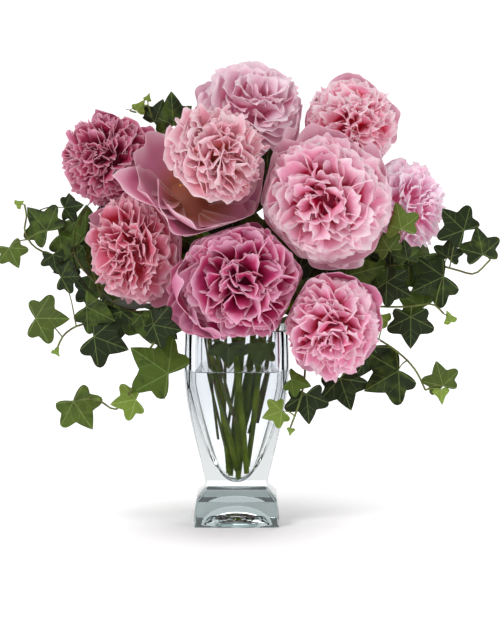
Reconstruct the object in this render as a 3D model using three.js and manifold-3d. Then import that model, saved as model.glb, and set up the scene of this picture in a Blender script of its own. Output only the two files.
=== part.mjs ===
// Nine peonies and trailing ivy standing in a clear square glass vase.
// Millimetres, +Z up. The front of the vase faces -Y, its left side -X.
// The origin is the centre of the vase's underside.

import * as THREE from 'three';
import Module from 'manifold-3d';

const wasm = await Module();
wasm.setup();

// Vase: half widths of the square outside at each height, from the foot block to the rim.
const VASE_HEIGHT = 200;
const VASE_SIDES = [
  [0, 42.5], [16, 42.5], [26, 40.5], [36.5, 30.5], [50, 32.3], [68, 36.4],
  [82, 39.8], [110, 46], [138, 50.6], [166, 52.4], [VASE_HEIGHT, 51.4],
];
const CORNER_CHAMFER = 3;

// Inside of the vase: a square with round corners that narrows to a round bowl.
const BOWL_FLOOR = 43;
const BOWL_SPREAD = 5.29;
const BOWL_POWER = 0.477;
const MOUTH_HALF = 47.6;
const BOWL_STEPS = [0.4, 3, 8, 16, 28, 46, 74, 115];
const BOWL_POINTS = 16;
const ROUND_SECTION = 2;
const SQUARE_SECTION = 5;
const ROUND_DEPTH = 12;

const WATER_LEVEL = BOWL_FLOOR + BOWL_STEPS.at(-1);
const CLEARANCE = 0.3;
const HOLE_DEPTH = 1;

// Stems: each crosses the mouth at its own place and runs down in a straight line.
// Lower down the whole bunch is drawn in and turned, so no two of them can meet.
const MOUTH_LEVEL = 206;
const BUNCH_LEVEL = 52;
const BUNCH_SCALE = 0.42;
const BUNCH_TURN = Math.PI / 2;
const FOOT_START = 2;
const FOOT_STEP = 0.25;
const FOOT_ROOM = 1.2;
const PEONY_STEM_RADIUS = 3;
const IVY_STEM_RADIUS = 1.5;
const PETIOLE_RADIUS = 0.8;
const PEONY_STEM_SIDES = 5;
const IVY_STEM_SIDES = 4;
const PETIOLE_SIDES = 3;

const PETAL_THICKNESS = 1;
const LEAF_THICKNESS = 0.9;

// Leaves and outer stems keep this far from every bloom.
const BALL_MARGIN = 6;

// Where pieces grow together, detail finer than this is lost. It stays under their thickness:
// petals in a bloom, and then sepals, leaves and stalks.
const BLOOM_DETAIL = 0.88;
const GREEN_DETAIL = 0.78;

// Blooms bend where they press on a neighbour this near, or on the rim, both in parts of
// their radii, and the bend starts at this share of the room that is left.
const PRESS_REACH = 1.06;
const RIM_REACH = 1.2;
const BEND_START = 0.75;

const PINKS = {
  pale: 0xe9b7c9,
  rose: 0xd17ba2,
  deep: 0xb8437a,
  blush: 0xe8c0b4,
};

// Blooms: centre, radius, how wide and how tall each is in parts of that radius, the way it faces
// (degrees to the right of the front, and up), where its stem crosses the mouth, and its kind.
const BLOOMS = [
  { name: 'left_high', centre: [-126, 22, 366], radius: 50, girth: [1.02, 0.94], facing: [-30, 5],
    mouth: [-22, 18], kind: 'ball', guards: 'cupped', tint: 'rose', seed: 11 },
  { name: 'left_low', centre: [-100, -16, 283], radius: 54, girth: [0.88, 1.12], facing: [-30, -10],
    mouth: [-34, -4], kind: 'ball', guards: 'cupped', tint: 'rose', seed: 12 },
  { name: 'open_centre', centre: [-31, -48, 359], radius: 66, girth: [1, 1], facing: [30, 45],
    mouth: [0, -4], kind: 'bowl', guards: 'wide', tint: 'blush', seed: 13 },
  { name: 'top', centre: [14, 40, 412], radius: 54, girth: [1, 1], facing: [10, 40],
    mouth: [8, 16], kind: 'ball', guards: 'cupped', tint: 'pale', seed: 34 },
  { name: 'right_high', centre: [114, 34, 399.5], radius: 48, girth: [1, 1], facing: [12, 12],
    mouth: [22, 26], kind: 'ball', guards: 'cupped', tint: 'pale', seed: 15 },
  { name: 'right_front', centre: [88, -45, 331], radius: 67, girth: [1, 0.96], facing: [-12, 5],
    mouth: [18, -6], kind: 'ball', guards: 'cupped', tint: 'pale', seed: 16 },
  { name: 'right_far', centre: [166, 30, 318], radius: 48, girth: [1, 1], facing: [60, 10],
    mouth: [34, 12], kind: 'ball', guards: 'cupped', tint: 'rose', seed: 17 },
  { name: 'low_centre', centre: [5, -62, 252], radius: 65, girth: [1, 0.94], facing: [8, 12],
    mouth: [-4, -26], kind: 'ball', guards: 'spread', tint: 'deep', seed: 18 },
  { name: 'low_right', centre: [94, -66, 211], radius: 52, girth: [0.94, 1.06], facing: [0, -25],
    mouth: [26, -28], kind: 'ball', guards: 'cupped', tint: 'rose', seed: 19 },
];

// Broad outer petals of one bloom. Lengths are in parts of its radius, leans in degrees off its
// axis: out and height of the root, petal length and half width, lean at the root and at the tip.
const GUARD = { count: 5, out: 0.24, height: -0.62, half: 0.58, across: 2, along: 2 };
const GUARDS = {
  cupped: { ...GUARD, length: 1.14, root: 86, tip: 16 },
  spread: { ...GUARD, count: 6, length: 1.06, root: 84, tip: 58, half: 0.5 },
  wide: { ...GUARD, count: 6, length: 1, root: 84, tip: 38, half: 0.56 },
};

// Hearts that the inner petals grow on. Each has its radius, how far it sits up the bloom's axis
// and its outline. Its rings of petals are given by count, how far off the axis they grow, lean at
// root and tip, how far their tips reach from the heart's middle, and half width.
const HEARTS = {
  ball: {
    radius: 0.62, middle: 0,
    outline: [[0.13, -0.74], [0.5, -0.5], [0.66, -0.1], [0.58, 0.3], [0.3, 0.6]],
    rings: [[5, 98, 72, 100, 0.97, 0.48], [4, 60, 34, 78, 0.95, 0.46], [2, 24, -8, 40, 0.9, 0.36]],
  },
  bowl: {
    radius: 0.46, middle: 0.3,
    outline: [[0.13, -0.74], [0.31, -0.58], [0.47, 0.22], [0.4, 0.52], [0.2, 0.72]],
    rings: [[6, 98, 80, 114, 0.74, 0.36], [5, 56, 30, 70, 0.74, 0.33], [2, 20, -10, 20, 0.73, 0.28]],
  },
};
const CORE_SIDES = 6;
const BASE_DEPTH = 0.74;

// How petals of one layer differ: root and tip leans in degrees, length and width in parts.
const ROOT_SPREAD = 8;
const TIP_SPREAD = 18;
const LENGTH_SPREAD = 0.16;
const WIDTH_SPREAD = 0.2;

// Form of every petal: narrow root, round shoulders, drooping and rippled tip edge,
// and sides that cup inwards, with a twist and flutes.
const PETAL = {
  root: 0.22, shoulder: 2.6, shoulderEnd: 1.9, droop: 0.2, ripple: 0.07, cup: 0.3, twist: 0.1, flute: 0.05,
};

// Under each bloom, measured down its axis: straight neck, green cup and four sepals.
const NECK_LENGTH = 22;
const CUP_TOP_RADIUS = 7;
const CUP_RADIUS = 6;
const CUP_DEPTH = 9;
const CUP_END = 14;
const SEPAL_COUNT = 4;
const SEPAL_SIZE = 20;
const SEPAL = { out: 0.16, height: -0.16, length: 1, half: 0.42, root: 88, tip: 112 };
const SEPAL_SEED = 50;

// Peony stems bow back and up between the mouth and the neck.
const STEM_BOW = [0, 6, 4];
const STEM_STEPS = 6;

// Ivy: where each trail crosses the mouth, how far its cut end is held above the bowl's floor,
// the points that it passes outside, and its leaves as
// centre x, y, z, length, turn of the tip (degrees, clockwise from up) and the way it faces.
const TRAILS = [
  { name: 'left_high', mouth: [-40, 12], lift: 24,
    route: [[-66, 10, 214], [-112, 4, 250], [-150, -4, 276], [-180, -10, 272], [-204, -12, 282],
      [-213, -12, 298], [-211, -12, 312], [-213, -12, 324]],
    leaves: [[-198, -18, 307, 40, 45, -20, 10], [-225, -16, 273, 28, 205, -10, 0],
      [-168, -14, 290, 38, 255, -15, 20], [-183, -18, 267, 24, 190, 0, 0],
      [-166, -4, 321, 26, 280, -20, 10], [-144, 2, 312, 30, 350, -30, 15],
      [-152, -10, 264, 30, 200, -20, 0], [-128, 10, 300, 42, 330, -20, 10],
      [-218, -12, 325, 12, 300, -10, 0]] },
  { name: 'left_middle', mouth: [-40, -18], lift: 36,
    route: [[-62, -20, 211], [-100, -24, 218], [-138, -26, 208], [-162, -26, 202], [-174, -26, 193],
      [-180, -25, 181]],
    leaves: [[-142, -22, 243, 44, 345, -20, 5], [-168, -30, 253, 28, 275, -15, 10],
      [-140, -34, 218, 40, 245, -10, 10], [-189, -30, 211, 42, 270, -5, 15],
      [-130, -40, 189, 46, 250, -5, 10], [-92, -34, 204, 38, 200, -10, 0],
      [-104, -24, 226, 42, 320, -10, 10],
      [-122, -22, 246, 42, 290, -15, 10], [-56, -14, 236, 42, 320, 0, 10],
      [-181, -26, 176, 11, 215, 0, 0]] },
  { name: 'left_low', mouth: [-26, -30], lift: 48,
    route: [[-52, -46, 204], [-80, -56, 192], [-94, -56, 168], [-105, -54, 142], [-121, -52, 122],
      [-136, -50, 130]],
    leaves: [[-82, -66, 170, 56, 55, 0, 15], [-110, -58, 131, 32, 100, 5, 20],
      [-156, -54, 120, 42, 215, -5, 5], [-72, -50, 204, 34, 230, -10, 10],
      [-143, -50, 134, 10, 290, 0, 0]] },
  { name: 'top_left', mouth: [-10, 30], lift: 30,
    route: [[-26, 52, 250], [-52, 62, 320], [-66, 54, 380], [-84, 46, 404], [-90, 42, 420]],
    leaves: [[-65, 40, 413, 42, 5, -5, 10], [-80, 44, 412, 30, 340, 0, 10],
      [-98, 42, 419, 18, 325, -10, 0], [-107, 42, 410, 16, 290, -10, 10],
      [-90, 42, 428, 10, 340, 0, 0], [-42, 16, 262, 36, 190, 0, 10],
      [-4, 18, 296, 42, 180, 0, 10],
      [24, 6, 292, 48, 170, 0, 10]] },
  { name: 'right_high', mouth: [42, 26], lift: 20,
    route: [[66, 28, 218], [114, 12, 246], [158, -4, 262], [198, -6, 263], [222, -4, 257],
      [240, -2, 253], [256, 0, 267]],
    leaves: [[163, -28, 311, 34, 10, 0, 10], [149, -24, 287, 28, 30, -10, 5],
      [170, -20, 277, 26, 10, 5, 0], [220, -8, 306, 40, 45, 5, 20],
      [246, -2, 283, 36, 10, 10, 10], [214, -2, 277, 26, 350, 0, 10],
      [104, -4, 258, 46, 330, 0, 10]] },
  { name: 'right_middle', mouth: [44, 0], lift: 34,
    route: [[64, 8, 212], [106, 2, 226], [142, -20, 222], [172, -22, 222], [198, -22, 224],
      [208, -22, 215]],
    leaves: [[124, -16, 256, 50, 285, 0, 15], [160, -28, 242, 36, 240, 0, 10],
      [196, -18, 246, 46, 115, 5, 15], [175, -26, 200, 40, 180, 0, 0],
      [64, 2, 258, 46, 350, 0, 10], [214, -22, 211, 16, 20, 5, 10]] },
  { name: 'right_low', mouth: [43, -24], lift: 42,
    route: [[62, -12, 206], [112, -2, 198], [140, -20, 190], [165, -26, 174], [180, -28, 158],
      [190, -28, 138]],
    leaves: [[150, -34, 151, 50, 120, 5, 15], [108, -36, 139, 42, 200, -5, 10],
      [205, -30, 152, 32, 15, 5, 5], [206, -32, 133, 20, 185, 5, 0],
      [147, -16, 209, 20, 60, 10, 10], [24, -39, 177, 30, 160, 0, 0]] },
  { name: 'front_right', mouth: [44, -12], lift: 28,
    route: [[58, -4, 206], [67, -18, 180], [68, -46, 152], [62, -62, 128], [54, -64, 106]],
    leaves: [[71, -58, 127, 38, 185, 10, 5], [38, -60, 119, 26, 110, 0, 10],
      [54, -62, 101, 10, 170, 0, 0], [62, -68, 152, 26, 250, 0, 20]] },
  { name: 'back_left', mouth: [-30, 38], lift: 26,
    route: [[-50, 62, 212], [-90, 72, 234], [-130, 62, 256], [-158, 48, 262]],
    leaves: [[-100, 84, 262, 46, 320, -165, 15], [-150, 58, 284, 38, 30, -150, 10],
      [-176, 46, 256, 34, 250, -130, 10]] },
  { name: 'back_middle', mouth: [8, 38], lift: 22,
    route: [[6, 66, 216], [2, 88, 256], [-8, 96, 306], [-14, 92, 344]],
    leaves: [[26, 94, 238, 44, 110, 170, 10], [-36, 100, 270, 46, 240, 185, 10],
      [26, 106, 286, 46, 60, 175, 15], [-40, 98, 330, 42, 300, 190, 10],
      [2, 94, 366, 36, 5, 180, 25]] },
  { name: 'back_right', mouth: [36, 42], lift: 32,
    route: [[56, 64, 212], [98, 78, 236], [140, 80, 258], [176, 74, 262]],
    leaves: [[94, 92, 268, 48, 10, 165, 15], [136, 88, 230, 44, 130, 160, 5],
      [148, 86, 288, 42, 40, 150, 15], [196, 70, 258, 38, 100, 130, 10]] },
  { name: 'neck', mouth: [-34, -40], lift: 50,
    route: [[-54, -46, 209], [-66, -56, 208]],
    leaves: [[-8, -41, 179, 34, 180, 0, 0], [-72, -74, 208, 36, 260, -10, 10]] },
];

// Half of an ivy leaf's outline in parts of its length, from the notch at its stalk to its tip.
const LEAF_HALF = [[0.36, -0.2], [0.36, 0.06], [0.57, 0.28], [0.27, 0.42]];
const YOUNG_HALF = [[0.46, 0.06], [0.22, 0.34]];
const YOUNG_LENGTH = 20;
const LEAF_NOTCH = [0, -0.02];
const LEAF_TIP = [0, 0.82];
const LEAF_CENTRE = [0, 0.16];
const LEAF_FOLD = 0.22;
const LEAF_DROOP = 0.16;
const LEAF_MIDDLE = 0.3;

// Trails: length of one straight step, how much they thin to their tip, where a leaf stalk may
// leave them inside the neck (share of the way up from the foot), and where it meets its leaf.
const TRAIL_STEP = 24;
const TRAIL_TAPER = 0.35;
const INSIDE_SHARES = [0.8, 0.9];
const STALK_END = [0, 0.02];

const UP = new THREE.Vector3(0, 0, 1);
const vector = (point) => new THREE.Vector3(...point);
const radians = THREE.MathUtils.degToRad;

function seeded(seed) {
  let state = seed * 7919;
  return () => {
    state = (state * 16807 + 12345) % 2147483647;
    return state / 2147483647;
  };
}

function facingVector([turn, rise]) {
  const level = Math.cos(radians(rise));
  return new THREE.Vector3(
    Math.sin(radians(turn)) * level,
    -Math.cos(radians(turn)) * level,
    Math.sin(radians(rise)),
  );
}

// Solids

function solidFrom(points, faces) {
  const geometry = new THREE.BufferGeometry().setFromPoints(points);
  geometry.setIndex(faces);
  return new wasm.Manifold(new wasm.Mesh({
    numProp: 3,
    vertProperties: new Float32Array(geometry.attributes.position.array),
    triVerts: new Uint32Array(geometry.index.array),
  }));
}

function meshFrom(name, solid, material) {
  const whole = solid.decompose().sort((a, b) => b.volume() - a.volume())[0];
  const result = whole.getMesh();
  const geometry = new THREE.BufferGeometry();
  geometry.setAttribute('position', new THREE.BufferAttribute(result.vertProperties, 3));
  geometry.setIndex(new THREE.BufferAttribute(result.triVerts, 1));
  geometry.computeVertexNormals();
  const mesh = new THREE.Mesh(geometry, material);
  mesh.name = name;
  return mesh;
}

function joined(solids, detail) {
  return solids.reduce((whole, piece) => whole.add(piece)).simplify(detail);
}

// Closed body through equal rings of points, with a flat cap on its first and last ring.
function loft(rings) {
  const sides = rings[0].length;
  const last = (rings.length - 1) * sides;
  const faces = [];
  for (let start = 0; start < last; start += sides) {
    for (let side = 0; side < sides; side += 1) {
      const here = start + side;
      const next = start + ((side + 1) % sides);
      faces.push(here, next, next + sides, here, next + sides, here + sides);
    }
  }
  for (let side = 1; side + 1 < sides; side += 1) {
    faces.push(0, side + 1, side, last, last + side, last + side + 1);
  }
  return solidFrom(rings.flat(), faces);
}

// Round bar through a list of points, with a radius for each.
function bar(points, radii, sides) {
  const rings = [];
  let across = null;
  points.forEach((point, index) => {
    const before = points[Math.max(index - 1, 0)];
    const after = points[Math.min(index + 1, points.length - 1)];
    const along = after.clone().sub(before).normalize();
    if (across === null) {
      const helper = Math.abs(along.z) > 0.9 ? new THREE.Vector3(1, 0, 0) : new THREE.Vector3(0, 0, 1);
      across = helper.cross(along);
    }
    across = across.clone().addScaledVector(along, -across.dot(along)).normalize();
    const side = along.clone().cross(across);
    rings.push(Array.from({ length: sides }, (unused, count) => {
      const angle = (2 * Math.PI * count) / sides;
      return point.clone()
        .addScaledVector(across, radii[index] * Math.cos(angle))
        .addScaledVector(side, radii[index] * Math.sin(angle));
    }));
  });
  return loft(rings);
}

// Thin closed plate about a middle surface, split into triangles alike on both faces.
function plate(middle, normals, faces, rim, thickness) {
  const half = thickness / 2;
  const front = middle.map((point, index) => point.clone().addScaledVector(normals[index], half));
  const back = middle.map((point, index) => point.clone().addScaledVector(normals[index], -half));
  const count = middle.length;
  const all = [];
  for (const [a, b, c] of faces) {
    all.push(a, b, c, count + a, count + c, count + b);
  }
  rim.forEach((from, index) => {
    const to = rim[(index + 1) % rim.length];
    all.push(from, count + from, count + to, from, count + to, to);
  });
  return solidFrom([...front, ...back], all);
}

// Plate from a surface over u from -1 to 1 and v from 0 to 1.
function blade(surface, across, along, thickness) {
  const nudge = 0.02;
  const middle = [];
  const normals = [];
  for (let row = 0; row <= along; row += 1) {
    for (let column = 0; column <= across; column += 1) {
      const u = (2 * column) / across - 1;
      const v = row / along;
      const acrossWay = surface(u + nudge, v).sub(surface(u - nudge, v));
      const alongWay = surface(u, v + nudge).sub(surface(u, v - nudge));
      middle.push(surface(u, v));
      normals.push(acrossWay.cross(alongWay).normalize());
    }
  }
  const width = across + 1;
  const faces = [];
  for (let row = 0; row < along; row += 1) {
    for (let column = 0; column < across; column += 1) {
      const a = row * width + column;
      faces.push([a, a + 1, a + width + 1], [a, a + width + 1, a + width]);
    }
  }
  const bottom = Array.from({ length: across }, (unused, column) => column);
  const right = Array.from({ length: along }, (unused, row) => row * width + across);
  const top = Array.from({ length: across }, (unused, column) => along * width + across - column);
  const left = Array.from({ length: along }, (unused, row) => (along - row) * width);
  return plate(middle, normals, faces, [...bottom, ...right, ...top, ...left], thickness);
}

// Vase and water

function bowlHalf(height) {
  return Math.min(BOWL_SPREAD * (height - BOWL_FLOOR) ** BOWL_POWER, MOUTH_HALF);
}

function vaseRing(height, half) {
  const inner = half - CORNER_CHAMFER;
  const corners = [
    [half, -inner], [half, inner], [inner, half], [-inner, half],
    [-half, inner], [-half, -inner], [-inner, -half], [inner, -half],
  ];
  return corners.map(([x, y]) => new THREE.Vector3(x, y, height));
}

function bowlRing(height, half) {
  const squareness = THREE.MathUtils.smoothstep(height, BOWL_FLOOR + ROUND_DEPTH, WATER_LEVEL);
  const power = 2 / THREE.MathUtils.lerp(ROUND_SECTION, SQUARE_SECTION, squareness);
  return Array.from({ length: BOWL_POINTS }, (unused, count) => {
    const angle = (2 * Math.PI * (count + 0.5)) / BOWL_POINTS;
    const x = Math.sign(Math.cos(angle)) * Math.abs(Math.cos(angle)) ** power;
    const y = Math.sign(Math.sin(angle)) * Math.abs(Math.sin(angle)) ** power;
    return new THREE.Vector3(half * x, half * y, height);
  });
}

// The bowl's inside up to a level, drawn in by a gap.
function bowlSolid(level, gap) {
  const heights = BOWL_STEPS.map((step) => BOWL_FLOOR + step).filter((height) => height < level);
  const ring = (height) => bowlRing(height + gap, bowlHalf(height) - gap);
  return loft([...heights, level].map(ring));
}

function vaseSolid() {
  const outside = loft(VASE_SIDES.map(([height, half]) => vaseRing(height, half)));
  return outside.subtract(bowlSolid(VASE_HEIGHT + 1, 0));
}

// Stems in the bunch

function bunchPoint([x, y], height) {
  const rise = (height - BUNCH_LEVEL) / (MOUTH_LEVEL - BUNCH_LEVEL);
  const turned = new THREE.Vector2(x, y)
    .rotateAround(new THREE.Vector2(0, 0), BUNCH_TURN)
    .multiplyScalar(BUNCH_SCALE);
  const place = turned.lerp(new THREE.Vector2(x, y), rise);
  return new THREE.Vector3(place.x, place.y, height);
}

// Lowest place where a stem of this radius fits inside the bowl, and a lift above it.
function footPoint(mouth, radius, lift) {
  const room = radius * FOOT_ROOM + CLEARANCE;
  const outward = (height) => bunchPoint(mouth, height).setZ(0).length();
  let height = BOWL_FLOOR + FOOT_START;
  while (outward(height) + room >= bowlHalf(height)) {
    height += FOOT_STEP;
  }
  return bunchPoint(mouth, height + lift);
}

function insideStem(mouth, radius, lift, sides) {
  const points = [footPoint(mouth, radius, lift), bunchPoint(mouth, MOUTH_LEVEL)];
  return bar(points, [radius, radius], sides);
}

// Blooms

// Turns +Z to an axis and keeps +Y as upright as it can.
function standOn(axis) {
  const right = UP.clone().cross(axis).normalize();
  return new THREE.Matrix4().makeBasis(right, axis.clone().cross(right), axis);
}

for (const bloom of BLOOMS) {
  bloom.middle = vector(bloom.centre);
  bloom.axis = facingVector(bloom.facing);
  bloom.stand = standOn(bloom.axis);
  bloom.base = bloom.middle.clone().addScaledVector(bloom.axis, -BASE_DEPTH * bloom.radius);
}

// Moves a point out of every bloom's ball, apart from the bloom that it belongs to.
function clearOfBlooms(point, own, margin) {
  for (const bloom of BLOOMS) {
    const offset = point.clone().sub(bloom.middle);
    const reach = bloom.radius * Math.max(...bloom.girth) + margin;
    if (bloom !== own && offset.length() < reach) {
      point = bloom.middle.clone().add(offset.setLength(reach));
    }
  }
  return point;
}

// Flat limits that a bloom keeps to: one before each neighbour that it presses on,
// and one before the vase's rim.
function limitsOf(bloom) {
  const room = CLEARANCE + PETAL_THICKNESS;
  const limits = [];
  for (const other of BLOOMS) {
    const way = other.middle.clone().sub(bloom.middle);
    const span = way.length();
    const reach = bloom.radius + other.radius;
    if (other !== bloom && span < reach * PRESS_REACH) {
      limits.push({ way: way.normalize(), most: (span * bloom.radius) / reach - room });
    }
  }
  const half = VASE_SIDES.at(-1)[1];
  const low = new THREE.Vector3(-half, -half, 0);
  const nearest = bloom.middle.clone().clamp(low, new THREE.Vector3(half, half, VASE_HEIGHT));
  const way = nearest.sub(bloom.middle);
  const span = way.length();
  if (span < bloom.radius * RIM_REACH) {
    limits.push({ way: way.normalize(), most: span - room });
  }
  return limits;
}

function withinLimits(point, bloom, limits) {
  for (const { way, most } of limits) {
    const reach = point.clone().sub(bloom.middle).dot(way);
    const free = most * BEND_START;
    if (reach > free) {
      const bent = free + (most - free) * Math.tanh((reach - free) / (most - free));
      point.addScaledVector(way, bent - reach);
    }
  }
  return point;
}

// Layer of petals that grow on a heart. Their length is such that their tips reach its ring.
function layerOn({ radius, middle }, [count, grows, root, tip, reach, half]) {
  const out = radius * Math.sin(radians(grows));
  const rise = radius * Math.cos(radians(grows));
  const bend = radians(tip - root);
  const across = (Math.cos(radians(root)) - Math.cos(radians(tip))) / bend;
  const up = (Math.sin(radians(tip)) - Math.sin(radians(root))) / bend;
  const square = across * across + up * up;
  const linear = out * across + rise * up;
  const room = reach * reach - radius * radius;
  const length = (Math.sqrt(linear * linear + square * room) - linear) / square;
  return { count, out, height: rise + middle, length, half, root, tip, across: 2, along: 1 };
}

// Middle surface of one petal in the bloom's own frame, its axis along +Z.
// The petal's length follows an arc from its root lean to its tip lean.
function petalSurface(layer, turn, radius, draw) {
  const root = radians(layer.root + ROOT_SPREAD * (draw() - 0.5));
  const bend = radians(layer.tip + TIP_SPREAD * (draw() - 0.5)) - root;
  const length = layer.length * (1 + LENGTH_SPREAD * (draw() - 0.5));
  const half = layer.half * (1 + WIDTH_SPREAD * (draw() - 0.5));
  const wave = draw() * 2 * Math.PI;
  return (u, v) => {
    const reach = v * (1 - PETAL.droop * u * u + PETAL.ripple * Math.cos(5 * u + wave));
    const lean = root + bend * reach;
    const shoulder = Math.sin(Math.min(PETAL.shoulderEnd, PETAL.shoulder * v));
    const width = half * (PETAL.root + (1 - PETAL.root) * shoulder);
    const flute = PETAL.flute * v * v * Math.sin(4 * u + wave);
    const inward = PETAL.cup * width * u * u + PETAL.twist * v * u + flute;
    const arcOut = (length * (Math.cos(root) - Math.cos(lean))) / bend;
    const arcUp = (length * (Math.sin(lean) - Math.sin(root))) / bend;
    const out = layer.out + arcOut - inward * Math.cos(lean);
    const height = layer.height + arcUp + inward * Math.sin(lean);
    const point = new THREE.Vector3(out, -width * u, height).multiplyScalar(radius);
    return point.applyAxisAngle(UP, turn);
  };
}

function bloomSolid(bloom) {
  const draw = seeded(bloom.seed);
  const limits = limitsOf(bloom);
  const heart = HEARTS[bloom.kind];
  const girth = new THREE.Vector3(...bloom.girth, 1);
  const place = (point) => {
    point.multiply(girth).applyMatrix4(bloom.stand).add(bloom.middle);
    return withinLimits(point, bloom, limits);
  };
  const core = coreSolid(heart.outline, bloom.radius, place);
  const petals = [];
  const layers = heart.rings.map((entry) => layerOn(heart, entry));
  [GUARDS[bloom.guards], ...layers].forEach((layer, level) => {
    for (let count = 0; count < layer.count; count += 1) {
      const turn = (2 * Math.PI * (count + 0.5 * level + 0.3 * draw())) / layer.count;
      const surface = petalSurface(layer, turn, bloom.radius, draw);
      const placed = (u, v) => place(surface(u, v));
      petals.push(blade(placed, layer.across, layer.along, PETAL_THICKNESS));
    }
  });
  return joined([core, ...petals], BLOOM_DETAIL);
}

function coreSolid(outline, radius, place) {
  const ring = ([out, height]) => Array.from({ length: CORE_SIDES }, (unused, side) => {
    const angle = (2 * Math.PI * side) / CORE_SIDES;
    const point = new THREE.Vector3(out * Math.cos(angle), out * Math.sin(angle), height);
    return place(point.multiplyScalar(radius));
  });
  return loft(outline.map(ring));
}

// Peony stem with its green cup and sepals under the bloom.
function peonyStemSolid(bloom) {
  const top = bloom.base.clone().addScaledVector(bloom.axis, -CLEARANCE);
  const down = (depth) => top.clone().addScaledVector(bloom.axis, -depth);
  const mouth = bunchPoint(bloom.mouth, MOUTH_LEVEL);
  const bow = mouth.clone().lerp(down(NECK_LENGTH), 0.5).add(vector(STEM_BOW));
  const route = [mouth, bow, down(NECK_LENGTH), top];
  const curve = new THREE.CatmullRomCurve3(route, false, 'centripetal');
  const outside = curve.getSpacedPoints(STEM_STEPS).slice(1, -2)
    .map((point) => clearOfBlooms(point, bloom, BALL_MARGIN));
  const foot = footPoint(bloom.mouth, PEONY_STEM_RADIUS, 0);
  const shaft = [foot, mouth, ...outside, down(CUP_END)];
  const radii = [...shaft.map(() => PEONY_STEM_RADIUS), CUP_RADIUS, CUP_TOP_RADIUS];
  const stem = bar([...shaft, down(CUP_DEPTH), top], radii, PEONY_STEM_SIDES);
  return joined([stem, ...sepals(top, bloom)], GREEN_DETAIL);
}

function sepals(top, bloom) {
  const draw = seeded(bloom.seed + SEPAL_SEED);
  return Array.from({ length: SEPAL_COUNT }, (unused, count) => {
    const surface = petalSurface(SEPAL, (2 * Math.PI * count) / SEPAL_COUNT, SEPAL_SIZE, draw);
    return blade((u, v) => surface(u, v).applyMatrix4(bloom.stand).add(top), 1, 1, PETAL_THICKNESS);
  });
}

// Ivy

function leafSolid([x, y, z, length, turn, ...facing]) {
  const normal = facingVector(facing);
  const right = normal.clone().cross(UP).normalize();
  const up = right.clone().cross(normal).normalize();
  const angle = radians(turn);
  const along = up.clone().multiplyScalar(Math.cos(angle)).addScaledVector(right, Math.sin(angle));
  const across = along.clone().cross(normal);
  const place = ([wide, far]) => {
    const reach = far - LEAF_MIDDLE;
    const sink = LEAF_FOLD * Math.abs(wide) + LEAF_DROOP * reach * reach;
    return new THREE.Vector3(x, y, z)
      .addScaledVector(across, wide * length)
      .addScaledVector(along, reach * length)
      .addScaledVector(normal, -sink * length);
  };
  const side = length <= YOUNG_LENGTH ? YOUNG_HALF : LEAF_HALF;
  const mirrored = side.map(([wide, far]) => [-wide, far]).reverse();
  const outline = [LEAF_NOTCH, ...side, LEAF_TIP, ...mirrored];
  const middle = [...outline, LEAF_CENTRE].map(place)
    .map((point) => clearOfBlooms(point, null, BALL_MARGIN));
  const centre = outline.length;
  const faces = outline.map((unused, index) => [centre, index, (index + 1) % centre]);
  const rim = outline.map((unused, index) => index);
  const normals = middle.map(() => normal);
  return { body: plate(middle, normals, faces, rim, LEAF_THICKNESS), stalk: place(STALK_END) };
}

function nearestOf(points, target) {
  const distance = (point) => point.distanceTo(target);
  return points.reduce((best, point) => (distance(point) < distance(best) ? point : best));
}

function trailSolid(trail) {
  const mouth = bunchPoint(trail.mouth, MOUTH_LEVEL);
  const curve = new THREE.CatmullRomCurve3([mouth, ...trail.route.map(vector)], false, 'centripetal');
  const outside = curve.getSpacedPoints(Math.round(curve.getLength() / TRAIL_STEP)).slice(1)
    .map((point) => clearOfBlooms(point, null, BALL_MARGIN));
  const foot = footPoint(trail.mouth, IVY_STEM_RADIUS, trail.lift);
  const points = [foot, mouth, ...outside];
  const thin = (index) => 1 - (TRAIL_TAPER * index) / points.length;
  const radii = points.map((unused, index) => IVY_STEM_RADIUS * thin(index));
  const pieces = [bar(points, radii, IVY_STEM_SIDES)];
  const inside = INSIDE_SHARES.map((share) => foot.clone().lerp(mouth, share));
  for (const entry of trail.leaves) {
    const { body, stalk } = leafSolid(entry);
    const anchor = nearestOf([...inside, mouth, ...outside], stalk);
    const petiole = bar([anchor, stalk], [PETIOLE_RADIUS, PETIOLE_RADIUS / 2], PETIOLE_SIDES);
    pieces.push(body, petiole);
  }
  return joined(pieces, GREEN_DETAIL);
}

// Materials

function clear(color, roughness, opacity) {
  return new THREE.MeshStandardMaterial({ color, roughness, opacity, transparent: true });
}

function leafy(color, roughness) {
  return new THREE.MeshStandardMaterial({ color, roughness });
}

const vaseGlass = clear(0xdfe8e6, 0.05, 0.35);
const clearWater = clear(0xe6eeee, 0.02, 0.3);
const stemGreen = leafy(0x6d8242, 0.55);
const ivyGreen = leafy(0x3f5a2a, 0.5);

function petalMaterial(tint) {
  return new THREE.MeshStandardMaterial({ color: PINKS[tint], roughness: 0.6 });
}

// Assembly

// Water with a plain hole round each stem that stands in it.
function waterSolid() {
  const hole = ({ mouth }, radius, lift, sides) => (
    insideStem(mouth, radius + CLEARANCE, lift - HOLE_DEPTH, sides)
  );
  const holes = [
    ...BLOOMS.map((bloom) => hole(bloom, PEONY_STEM_RADIUS, 0, PEONY_STEM_SIDES)),
    ...TRAILS.map((trail) => hole(trail, IVY_STEM_RADIUS, trail.lift, IVY_STEM_SIDES)),
  ];
  return holes.reduce((water, solid) => water.subtract(solid), bowlSolid(WATER_LEVEL, CLEARANCE));
}

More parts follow.
